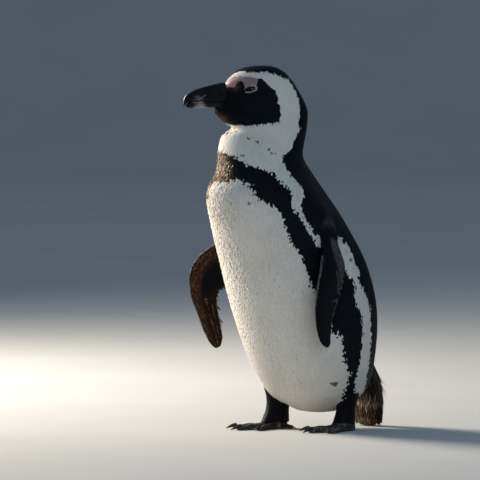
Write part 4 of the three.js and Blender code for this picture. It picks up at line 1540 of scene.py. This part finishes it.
def mandible(stations, upper, name, material, node):
    """Half of the bill with its plates, nostril, ridges and hooked tip."""
    row = curve_through(stations, [0])(np.linspace(0, 1, BILL_STEPS) ** 0.92)
    angle = np.linspace(0, math.pi, BILL_DOMED)
    across = np.sign(np.cos(angle)) * np.abs(np.cos(angle)) ** (2 / BILL_SQUARE)
    up = np.abs(np.sin(angle)) ** (2 / BILL_SQUARE)
    flat = BILL_SIDES - BILL_DOMED
    back = 2 * np.arange(1, flat + 1) / (flat + 1) - 1
    across = np.concatenate([across, back])[None, :]
    up = np.concatenate([up, np.zeros(flat)])[None, :]
    along, top, low, half = (row[:, k : k + 1] for k in range(4))
    z = low + (top - low) * up if upper else top - (top - low) * up
    # The lower half's crowned top fits into the hollow under the upper half.
    crown = MOUTH_CROWN * (1 - across**2) * (np.arange(BILL_SIDES) >= BILL_DOMED)
    z = z + crown * smooth_step(1.5, 4, half)
    along = np.broadcast_to(along, z.shape)
    aside = half * across
    dent = bill_dents(along, z, up, upper)
    aside = aside * np.clip(1 - dent / np.maximum(np.abs(aside), 1.5), 0.5, 1)
    points, faces = loft(head_point(along, aside, z))
    mesh = mesh_of(name, points, faces)
    pale = bill_pale(head_place(points)[0], points[:, 2], upper)
    set_attribute(mesh, "pale", np.clip(pale, 0, 1))
    finish_piece(add_object(mesh, material), "bill_horn", node)


def make_bill(context):
    material = bill_material(context.scene.penguin_bare)
    mandible(UPPER_BILL, True, "bill_top", material, "bill_upper")
    mandible(LOWER_BILL, False, "bill_bottom", material, "bill_lower")


CLAW_RINGS = 22


def make_claws(context):
    material = claw_material(context.scene.penguin_bare)
    for name, stance in STANCES.items():
        shapes = []
        for toe in TOES.values():
            size = toe["width"] / TOES["middle"]["width"]
            share, turn = np.linspace(0, 1, CLAW_RINGS)[:, None], turns(TOE_SIDES)[None, :]
            girth = CLAW_RADIUS * size * (1 - 0.88 * share**1.6)
            height = girth + CLAW_LIFT + 1.6 * size * np.sin((0.25 + 0.75 * share) * math.pi)
            ahead = toe["length"] - CLAW_ROOT + (CLAW_LENGTH + CLAW_ROOT) * size * share
            ridge = 1 + 0.1 * np.maximum(np.sin(turn), 0) ** 6
            x, z = girth * 0.8 * np.cos(turn), height + girth * np.sin(turn) * ridge
            rings = np.stack(np.broadcast_arrays(x, ahead, z), axis=-1)
            points, faces = loft(rings @ level_turn(toe["angle"]).T)
            points = planted(points, stance)
            shapes.append((points, outward(points, faces)))
        mesh = mesh_of(f"claws_{name}", *joined(shapes))
        nodes = [f"claw_{name}_{toe}" for toe in TOES]
        finish_piece(add_object(mesh, material), "claw_horn", *nodes)


# ---------- materials ----------


# Scales of the coarse and the fine grain of each material.
GRAIN = {
    "feathers": (28.0, 420.0),
    "skin": (130.0, 900.0),
    "eye": (500.0, 1800.0),
    "bill_horn": (180.0, 1100.0),
    "claw_horn": (260.0, 1400.0),
    "floor": (3.0, 80.0),
}


def new_material(name):
    """A material with its tree, its shader and the coarse and the fine mask of its grain."""
    material = bpy.data.materials.new(name)
    material.use_nodes = True
    tree = material.node_tree
    scales = dict(zip(("Coarse", "Fine"), GRAIN[name]))
    grain = add_node(tree, "ShaderNodeGroup", scales, node_tree=grain_group()).outputs
    return material, tree, tree.nodes["Principled BSDF"], grain["Patches"], grain["Pores"]


def set_inputs(tree, node, inputs):
    """Links each value that is a socket, and sets the others."""
    for key, value in inputs.items():
        if isinstance(value, bpy.types.NodeSocket):
            tree.links.new(value, node.inputs[key])
        else:
            node.inputs[key].default_value = value


def add_node(tree, kind, inputs=None, **settings):
    node = tree.nodes.new(kind)
    for key, value in settings.items():
        setattr(node, key, value)
    set_inputs(tree, node, inputs or {})
    return node


def attribute(tree, name):
    return add_node(tree, "ShaderNodeAttribute", attribute_name=name).outputs["Fac"]


def maths(tree, operation, a, b=0.0, c=0.0):
    return add_node(tree, "ShaderNodeMath", {0: a, 1: b, 2: c}, operation=operation).outputs[0]


def mixed(tree, share, a, b):
    """A colour mix from a to b."""
    a, b = (end if isinstance(end, bpy.types.NodeSocket) else (*end, 1) for end in (a, b))
    node = add_node(tree, "ShaderNodeMix", data_type="RGBA")
    set_inputs(tree, node, {0: share, 6: a, 7: b})
    return node.outputs[2]


def new_group(name, inputs, outputs):
    """A shader node group with float inputs and outputs, and its two end nodes."""
    tree = bpy.data.node_groups.new(name, "ShaderNodeTree")
    for label, default in inputs.items():
        socket = tree.interface.new_socket(label, in_out="INPUT", socket_type="NodeSocketFloat")
        socket.default_value = default
    for label in outputs:
        tree.interface.new_socket(label, in_out="OUTPUT", socket_type="NodeSocketFloat")
    return tree, tree.nodes.new("NodeGroupInput").outputs, tree.nodes.new("NodeGroupOutput").inputs


def barbs_group():
    """Fine slanting barbs on both sides of a vane's shaft."""
    if "Barbs" in bpy.data.node_groups:
        return bpy.data.node_groups["Barbs"]
    inputs = {"Along": 0.0, "Across": 0.0, "Count": 18.0, "Slant": 0.25}
    tree, given, out = new_group("Barbs", inputs, ["Height"])
    side = maths(tree, "ABSOLUTE", given["Across"])
    slanted = maths(tree, "SUBTRACT", given["Along"], maths(tree, "MULTIPLY", side, given["Slant"]))
    phase = maths(tree, "MULTIPLY", slanted, maths(tree, "MULTIPLY", given["Count"], FULL_TURN))
    wave = maths(tree, "MULTIPLY_ADD", maths(tree, "SINE", phase), 0.5, 0.5)
    shaft = maths(tree, "SUBTRACT", 1.0, maths(tree, "MULTIPLY", side, 6.0))
    shaft = maths(tree, "MAXIMUM", shaft, 0.0)
    tree.links.new(maths(tree, "ADD", wave, shaft), out["Height"])
    return tree


def grain_group():
    """Uneven grain in the part's own space: a coarse and a fine mask."""
    if "Grain" in bpy.data.node_groups:
        return bpy.data.node_groups["Grain"]
    tree, given, out = new_group("Grain", {"Coarse": 60.0, "Fine": 600.0}, ["Patches", "Pores"])
    place = add_node(tree, "ShaderNodeTexCoord").outputs["Object"]
    for scale, detail, mask in (("Coarse", 3.0, "Patches"), ("Fine", 2.0, "Pores")):
        inputs = {"Vector": place, "Scale": given[scale], "Detail": detail}
        noise = add_node(tree, "ShaderNodeTexNoise", inputs)
        tree.links.new(noise.outputs["Fac"], out[mask])
    return tree


def stretched(tree, value, low, high, to_low, to_high):
    """A value between low and high, brought between two others and kept there."""
    limits = {"From Min": low, "From Max": high, "To Min": to_low, "To Max": to_high}
    return add_node(tree, "ShaderNodeMapRange", {"Value": value, **limits}).outputs["Result"]


def bump(tree, shader, height, strength, distance):
    inputs = {"Strength": strength, "Distance": distance, "Height": height}
    node = add_node(tree, "ShaderNodeBump", inputs)
    tree.links.new(node.outputs["Normal"], shader.inputs["Normal"])


def plumage_material(coat):
    if "feathers" in bpy.data.materials:
        return bpy.data.materials["feathers"]
    material, tree, shader, patches, pores = new_material("feathers")
    dark, rust = attribute(tree, "dark"), attribute(tree, "rust")
    tone, speckle = attribute(tree, "tone"), attribute(tree, "speckle")
    along = attribute(tree, "vane_along")
    inputs = {"Along": along, "Across": attribute(tree, "vane_across")}
    barbs = add_node(tree, "ShaderNodeGroup", inputs, node_tree=barbs_group()).outputs["Height"]
    # Each white feather has its own warmth, and dirt settles in patches.
    white = mixed(tree, tone, coat.white, coat.cream)
    soil = stretched(tree, patches, 0.48, 0.75, 0.0, 0.3)
    white = mixed(tree, soil, white, coat.soil)
    # Black feathers pale towards a slate tip, and worn ones turn brown.
    tip = maths(tree, "MULTIPLY", tone, stretched(tree, along, 0.55, 1.0, 0.1, 0.8))
    tip = maths(tree, "MULTIPLY", tip, stretched(tree, patches, 0.38, 0.62, 0.45, 1.5))
    black = mixed(tree, tip, coat.black, coat.slate)
    brown = mixed(tree, tone, coat.rust, coat.umber)
    black = mixed(tree, maths(tree, "MULTIPLY", rust, 0.85), black, brown)
    tan = stretched(tree, speckle, 0.45, 0.85, 0.0, 1.0)
    black = mixed(tree, tan, black, coat.tan)
    # Painted shade: the colour follows the barbs' height, darker in the valleys between the barbs
    # and lighter along the shaft.
    shade = maths(tree, "MULTIPLY_ADD", barbs, 0.16, 0.84)
    grey = add_node(tree, "ShaderNodeCombineColor", {0: shade, 1: shade, 2: shade}).outputs[0]
    inputs = {0: 1.0, 6: mixed(tree, dark, white, black), 7: grey}
    shaded = add_node(tree, "ShaderNodeMix", data_type="RGBA", blend_type="MULTIPLY")
    set_inputs(tree, shaded, inputs)
    rough = maths(tree, "SUBTRACT", stretched(tree, dark, 0.0, 1.0, 0.78, 0.5), 0.07)
    rough = maths(tree, "MULTIPLY_ADD", pores, 0.14, rough)
    looks = {"Base Color": shaded.outputs[2], "Roughness": rough, "Specular IOR Level": 0.045}
    set_inputs(tree, shader, looks)
    bump(tree, shader, barbs, 0.2, 0.0001)
    return material


def skin_material(bare):
    material, tree, shader, patches, pores = new_material("skin")
    dark, rust = attribute(tree, "dark"), attribute(tree, "rust")
    naked, rim, foot = attribute(tree, "bare"), attribute(tree, "rim"), attribute(tree, "foot")
    down = mixed(tree, patches, bare.down_white, bare.down_grey)
    soot = mixed(tree, patches, bare.down_black, bare.down_soot)
    soot = mixed(tree, rust, soot, bare.down_rust)
    colour = mixed(tree, dark, down, soot)
    lores = attribute(tree, "lores")
    mottle = stretched(tree, patches, 0.4, 0.62, 0.6, 1.0)
    # Painted shade: the bare skin over the eye is a darker, greyer copy of the lores' pink.
    pink = mixed(tree, maths(tree, "MULTIPLY", lores, mottle), bare.face_pink_shaded, bare.face_pink)
    pink = mixed(tree, rim, pink, bare.lid_rim)
    colour = mixed(tree, naked, colour, pink)
    blotch = stretched(tree, patches, 0.56, 0.66, 0.0, 0.8)
    sole = mixed(tree, blotch, bare.foot_black, bare.foot_pink)
    colour = mixed(tree, foot, colour, sole)
    inputs = {"Vector": add_node(tree, "ShaderNodeTexCoord").outputs["Object"], "Scale": 620.0}
    scales = add_node(tree, "ShaderNodeTexVoronoi", inputs, feature="DISTANCE_TO_EDGE")
    edge = stretched(tree, scales.outputs["Distance"], 0.0, 0.25, 0.0, 1.0)
    height = maths(tree, "MULTIPLY_ADD", edge, foot, maths(tree, "MULTIPLY", pores, 0.7))
    rough = stretched(tree, pores, 0.3, 0.7, 0.42, 0.68)
    set_inputs(tree, shader, {"Base Color": colour, "Roughness": rough})
    bump(tree, shader, height, 0.55, 0.0003)
    return material


IRIS_EDGE, PUPIL_EDGE = (24.0, 31.0), (14.0, 15.5)  # degrees from the gaze, across each edge


def eye_material(bare):
    material, tree, shader, patches, pores = new_material("eye")
    angle = attribute(tree, "gaze_angle")
    fleck = stretched(tree, pores, 0.35, 0.65, 0.0, 1.0)
    iris = mixed(tree, fleck, bare.iris, bare.iris_light)
    iris = mixed(tree, stretched(tree, angle, *IRIS_EDGE, 0.0, 1.0), iris, bare.iris_edge)
    colour = mixed(tree, stretched(tree, angle, *PUPIL_EDGE, 1.0, 0.0), iris, bare.pupil)
    rough = stretched(tree, patches, 0.3, 0.7, 0.08, 0.14)
    looks = {"Base Color": colour, "Roughness": rough, "Specular IOR Level": 0.2}
    set_inputs(tree, shader, {**looks, "Coat Weight": 0.16, "Coat Roughness": 0.03})
    bump(tree, shader, pores, 0.05, 0.0001)
    return material


def bill_material(bare):
    material, tree, shader, patches, pores = new_material("bill_horn")
    pale = attribute(tree, "pale")
    wear = stretched(tree, patches, 0.35, 0.7, 0.0, 1.0)
    horn = mixed(tree, wear, bare.bill_black, bare.bill_worn)
    scuff = maths(tree, "MULTIPLY", pale, stretched(tree, pores, 0.38, 0.56, 0.35, 1.0))
    colour = mixed(tree, scuff, horn, bare.bill_grey)
    rough = stretched(tree, patches, 0.3, 0.7, 0.3, 0.5)
    rough = maths(tree, "MULTIPLY_ADD", pale, 0.15, rough)
    looks = {"Base Color": colour, "Roughness": rough, "Specular IOR Level": 0.17}
    set_inputs(tree, shader, looks)
    height = maths(tree, "MULTIPLY_ADD", patches, 0.6, pores)
    bump(tree, shader, height, 0.3, 0.00025)
    return material


def claw_material(bare):
    material, tree, shader, patches, pores = new_material("claw_horn")
    wear = stretched(tree, patches, 0.4, 0.7, 0.0, 1.0)
    colour = mixed(tree, wear, bare.claw_black, bare.bill_worn)
    rough = stretched(tree, pores, 0.3, 0.7, 0.3, 0.5)
    set_inputs(tree, shader, {"Base Color": colour, "Roughness": rough})
    bump(tree, shader, pores, 0.25, 0.0002)
    return material


# ---------- stage ----------

VIEW_AZIMUTH, VIEW_ELEVATION = math.radians(50), math.radians(2.5)
VIEW_DISTANCE = 8.0
FRAME_SIDE = 480  # pixels
PIXEL = 1.40 * MM  # size of one pixel at the bird
ORIGIN_PIXEL = (300, 430)  # where the point under the bird falls in the frame
SENSOR = 36.0
FLOOR_REACH, FLOOR_BEND, WALL_TOP = 11.0, 3.0, 6.0


BOWL_SIDES, BOWL_STEPS = 96, 16
CHEST = SHIFT + np.array([0, 0, 0.28])  # what the lamps face
# Lamps: place to the right, towards the viewer and up from the chest, size and colour.
LAMPS = {
    "key": ((-1.75, -1.2, 0.95), 0.9, (1.0, 0.89, 0.74)),
    "fill": ((1.0, 2.6, 1.2), 2.0, (0.72, 0.86, 1.0)),
    "rim": ((1.3, -1.7, 1.3), 0.9, (0.85, 0.93, 1.0)),
}


def view_axes():
    """The ways to the viewer's right and from the bird towards the viewer."""
    level = math.cos(VIEW_ELEVATION)
    back = [math.sin(VIEW_AZIMUTH) * level, -math.cos(VIEW_AZIMUTH) * level]
    right = np.array([math.cos(VIEW_AZIMUTH), math.sin(VIEW_AZIMUTH), 0.0])
    return right, np.array([*back, math.sin(VIEW_ELEVATION)])


def place_facing(context, name, data, place, way):
    """Sets a camera or lamp in its place, looking a given way."""
    holder = bpy.data.objects.new(name, data)
    context.scene.collection.objects.link(holder)
    holder.location = place
    holder.rotation_mode = "QUATERNION"
    holder.rotation_quaternion = Vector(way).to_track_quat("-Z", "Y")
    return holder


def make_camera(context):
    """A long lens far off, so that one pixel has one size all over the bird."""
    right, back = view_axes()
    up = np.cross(back, right)
    middle = FRAME_SIDE / 2
    target = SHIFT + right * (middle - ORIGIN_PIXEL[0]) * PIXEL
    target = target + up * (ORIGIN_PIXEL[1] - middle) * PIXEL
    place = target + back * VIEW_DISTANCE
    lens = bpy.data.cameras.new("camera")
    lens.sensor_width = SENSOR
    lens.lens = SENSOR * VIEW_DISTANCE / (FRAME_SIDE * PIXEL)
    lens.clip_end = 100
    context.scene.camera = place_facing(context, "camera", lens, place, -back)


def make_floor(look):
    """A wide bowl: level underfoot, rising smoothly to a wall all round, open to the air above."""
    bend = np.linspace(0, math.pi / 2, BOWL_STEPS)
    reach = [1.0, 3.0, 6.0, *(FLOOR_REACH + FLOOR_BEND * np.sin(bend)), FLOOR_REACH + FLOOR_BEND]
    rise = [0, 0, 0, *(FLOOR_BEND * (1 - np.cos(bend))), WALL_TOP]
    turn = turns(BOWL_SIDES)
    spread = np.stack([np.cos(turn), np.sin(turn), np.zeros(BOWL_SIDES)], axis=-1)
    rings = np.array(reach)[:, None, None] * spread + np.array(rise)[:, None, None] * UP
    points, faces = loft(rings)
    # The last point would close the bowl; without its faces the rest is turned to face inwards.
    faces = [face[::-1] for face in faces if len(points) - 1 not in face]
    mesh = bpy.data.meshes.new("floor")
    mesh.from_pydata(points[:-1].tolist(), [], faces)
    material, tree, shader, patches, _ = new_material("floor")
    shade = stretched(tree, patches, 0.3, 0.7, 0.0, 1.0)
    colour = mixed(tree, shade, look.floor, look.floor_light)
    set_inputs(tree, shader, {"Base Color": colour, "Roughness": 0.85})
    add_object(mesh, material)


def make_lamps(context, look):
    right, back = view_axes()
    for name, (offset, size, colour) in LAMPS.items():
        light = bpy.data.lights.new(name, "AREA")
        light.shape = "DISK"
        light.size = size
        light.energy = getattr(look, f"{name}_power")
        light.color = colour
        place = CHEST + right * offset[0] + back * offset[1] + UP * offset[2]
        place_facing(context, name, light, place, CHEST - place)


def make_air(context, look):
    world = bpy.data.worlds.new("studio")
    world.use_nodes = True
    sky = world.node_tree.nodes["Background"]
    sky.inputs["Color"].default_value = (*look.air, 1)
    sky.inputs["Strength"].default_value = look.air_strength
    context.scene.world = world
    context.scene.view_settings.view_transform = "Standard"


def make_stage(context):
    """Camera, floor, lamps and the air around."""
    look = context.scene.penguin_stage
    make_camera(context)
    make_floor(look)
    make_lamps(context, look)
    make_air(context, look)


# ---------- sizes and colours that a user may change ----------


def length_property(label, text, default):
    return bpy.props.FloatProperty(
        name=label, description=text, default=default, min=0.0001, subtype="DISTANCE", unit="LENGTH"
    )


def colour_property(label, text, default):
    return bpy.props.FloatVectorProperty(
        name=label, description=text, default=default, size=3, min=0.0, max=1.0, subtype="COLOR"
    )


def power_property(label, text, default):
    return bpy.props.FloatProperty(
        name=label, description=text, default=default, min=0.0, unit="POWER"
    )


class PenguinCoat(bpy.types.PropertyGroup):
    """Sizes and colours of the feathers."""

    body_pitch: length_property("Body pitch", "Feather spacing on the body", 0.00235)
    neck_pitch: length_property("Neck pitch", "Feather spacing on the neck", 0.00195)
    head_pitch: length_property("Head pitch", "Feather spacing on the head", 0.00145)
    flipper_pitch: length_property("Flipper pitch", "Feather spacing on the flippers", 0.0019)
    leg_pitch: length_property("Leg pitch", "Feather spacing on the legs", 0.0021)
    tail_pitch: length_property("Tail pitch", "Feather spacing on the tail", 0.0022)
    scatter: bpy.props.FloatProperty(
        name="Scatter", description="How far single feathers turn from the lie of the coat",
        default=0.12, min=0.0, subtype="ANGLE", unit="ROTATION",
    )
    ruffle: length_property("Ruffle", "How unevenly the feather tips stand", 0.00014)
    white: colour_property("White", "Clean white feathers", (0.84, 0.83, 0.80))
    cream: colour_property("Cream", "Warmer white feathers", (0.80, 0.77, 0.70))
    soil: colour_property("Soil", "Dirt settled in white feathers", (0.60, 0.56, 0.49))
    black: colour_property("Black", "Dark feathers", (0.0046, 0.0058, 0.0082))
    slate: colour_property("Slate", "Tips of dark feathers", (0.014, 0.019, 0.028))
    rust: colour_property("Rust", "Worn brown feathers", (0.085, 0.036, 0.015))
    umber: colour_property("Umber", "Deep brown feathers", (0.022, 0.014, 0.010))
    tan: colour_property("Tan", "Bleached flecks in brown feathers", (0.46, 0.29, 0.145))


class PenguinBare(bpy.types.PropertyGroup):
    """Colours of skin, bill, eyes and feet."""

    face_pink: colour_property("Face pink", "Bare skin in front of the eye", (0.40, 0.215, 0.205))
    # The pink skin over the eye, painted darker and greyer as in shade.
    face_pink_shaded: colour_property("Face pink shaded", "Bare skin over the eye", (0.27, 0.19, 0.195))
    lid_rim: colour_property("Lid rim", "Edges of the eyelids", (0.44, 0.37, 0.37))
    down_white: colour_property("White down", "Under white feathers", (0.62, 0.6, 0.56))
    down_grey: colour_property("Grey down", "Duller patches of it", (0.5, 0.47, 0.43))
    down_black: colour_property("Black down", "Under dark feathers", (0.012, 0.012, 0.014))
    down_soot: colour_property("Sooty down", "Lighter patches of it", (0.03, 0.028, 0.028))
    down_rust: colour_property("Rusty down", "Under worn feathers", (0.09, 0.045, 0.025))
    pupil: colour_property("Pupil", "Middle of the eye", (0.002, 0.002, 0.002))
    iris_edge: colour_property("Iris edge", "Dark ring round the iris", (0.012, 0.008, 0.006))
    iris: colour_property("Iris", "Dark part of the iris", (0.010, 0.006, 0.004))
    iris_light: colour_property("Iris light", "Light flecks of the iris", (0.026, 0.013, 0.007))
    bill_black: colour_property("Bill black", "Horn of the bill", (0.0025, 0.003, 0.004))
    bill_worn: colour_property("Bill worn", "Scuffed horn", (0.0065, 0.0072, 0.009))
    bill_grey: colour_property("Bill grey", "Pale bands near the bill's tip", (0.34, 0.33, 0.34))
    claw_black: colour_property("Claw black", "Horn of the claws", (0.012, 0.011, 0.011))
    foot_black: colour_property("Foot black", "Skin of the feet", (0.014, 0.013, 0.014))
    foot_pink: colour_property("Foot pink", "Mottles on the feet", (0.26, 0.17, 0.15))


class PenguinStage(bpy.types.PropertyGroup):
    """Floor and studio light."""

    floor: colour_property("Floor", "Colour of the floor", (0.46, 0.465, 0.47))
    floor_light: colour_property("Floor light", "Lighter patches of the floor", (0.49, 0.495, 0.50))
    air: colour_property("Air", "Colour of the studio around", (0.62, 0.80, 1.0))
    air_strength: bpy.props.FloatProperty(
        name="Air strength", description="Brightness of the studio around", default=0.33, min=0.0
    )
    key_power: power_property("Key power", "Main light", 130.0)
    fill_power: power_property("Fill power", "Light from the viewer's side", 12.0)
    rim_power: power_property("Rim power", "Light from behind", 1.5)


# ---------- operators and panel ----------


class PENGUIN_OT_skin(bpy.types.Operator):
    """Make the skin under the coat"""

    bl_idname = "penguin.skin"
    bl_label = "Skin"

    def execute(self, context):
        make_skin(context)
        return {"FINISHED"}


class PENGUIN_OT_eyes(bpy.types.Operator):
    """Make both eyeballs"""

    bl_idname = "penguin.eyes"
    bl_label = "Eyes"

    def execute(self, context):
        make_eyes(context)
        return {"FINISHED"}


class PENGUIN_OT_bill(bpy.types.Operator):
    """Make both halves of the bill"""

    bl_idname = "penguin.bill"
    bl_label = "Bill"

    def execute(self, context):
        make_bill(context)
        return {"FINISHED"}


class PENGUIN_OT_claws(bpy.types.Operator):
    """Make the claws of both feet"""

    bl_idname = "penguin.claws"
    bl_label = "Claws"

    def execute(self, context):
        make_claws(context)
        return {"FINISHED"}


class PENGUIN_OT_body_coat(bpy.types.Operator):
    """Lay the feathers of head, neck and trunk"""

    bl_idname = "penguin.body_coat"
    bl_label = "Body coat"

    def execute(self, context):
        body_coat(context, 7)
        return {"FINISHED"}


class PENGUIN_OT_flipper_coats(bpy.types.Operator):
    """Lay the feathers of both flippers"""

    bl_idname = "penguin.flipper_coats"
    bl_label = "Flipper coats"

    def execute(self, context):
        flipper_coat(context, "left", 21)
        flipper_coat(context, "right", 22)
        return {"FINISHED"}


class PENGUIN_OT_leg_coats(bpy.types.Operator):
    """Lay the feathers of both legs"""

    bl_idname = "penguin.leg_coats"
    bl_label = "Leg coats"

    def execute(self, context):
        leg_coat(context, "left", 31)
        leg_coat(context, "right", 32)
        return {"FINISHED"}


class PENGUIN_OT_tail_coat(bpy.types.Operator):
    """Lay the feathers of the tail"""

    bl_idname = "penguin.tail_coat"
    bl_label = "Tail coat"

    def execute(self, context):
        tail_coat(context, 41)
        return {"FINISHED"}


class PENGUIN_OT_stage(bpy.types.Operator):
    """Set up floor, light and camera"""

    bl_idname = "penguin.stage"
    bl_label = "Stage"

    def execute(self, context):
        make_stage(context)
        return {"FINISHED"}


OPERATORS = (
    PENGUIN_OT_skin,
    PENGUIN_OT_eyes,
    PENGUIN_OT_bill,
    PENGUIN_OT_claws,
    PENGUIN_OT_body_coat,
    PENGUIN_OT_flipper_coats,
    PENGUIN_OT_leg_coats,
    PENGUIN_OT_tail_coat,
    PENGUIN_OT_stage,
)


class PENGUIN_PT_panel(bpy.types.Panel):
    """Lists the penguin's pieces with their sizes and colours"""

    bl_idname = "PENGUIN_PT_panel"
    bl_label = "Penguin"
    bl_space_type = "VIEW_3D"
    bl_region_type = "UI"
    bl_category = "Penguin"

    def draw(self, context):
        layout = self.layout
        for operator in OPERATORS:
            layout.operator(operator.bl_idname)
        for name in SETTINGS:
            group = getattr(context.scene, name)
            for setting in group.__annotations__:
                layout.prop(group, setting)


SETTINGS = {
    "penguin_coat": PenguinCoat,
    "penguin_bare": PenguinBare,
    "penguin_stage": PenguinStage,
}


def register():
    for group in SETTINGS.values():
        bpy.utils.register_class(group)
    for name, group in SETTINGS.items():
        setattr(bpy.types.Scene, name, bpy.props.PointerProperty(type=group))
    for operator in (*OPERATORS, PENGUIN_PT_panel):
        bpy.utils.register_class(operator)


def unregister():
    for operator in (PENGUIN_PT_panel, *reversed(OPERATORS)):
        bpy.utils.unregister_class(operator)
    for name, group in SETTINGS.items():
        delattr(bpy.types.Scene, name)
        bpy.utils.unregister_class(group)


def main():
    register()
    for operator in OPERATORS:
        category, name = operator.bl_idname.split(".")
        getattr(getattr(bpy.ops, category), name)()


if __name__ == "__main__":
    main()
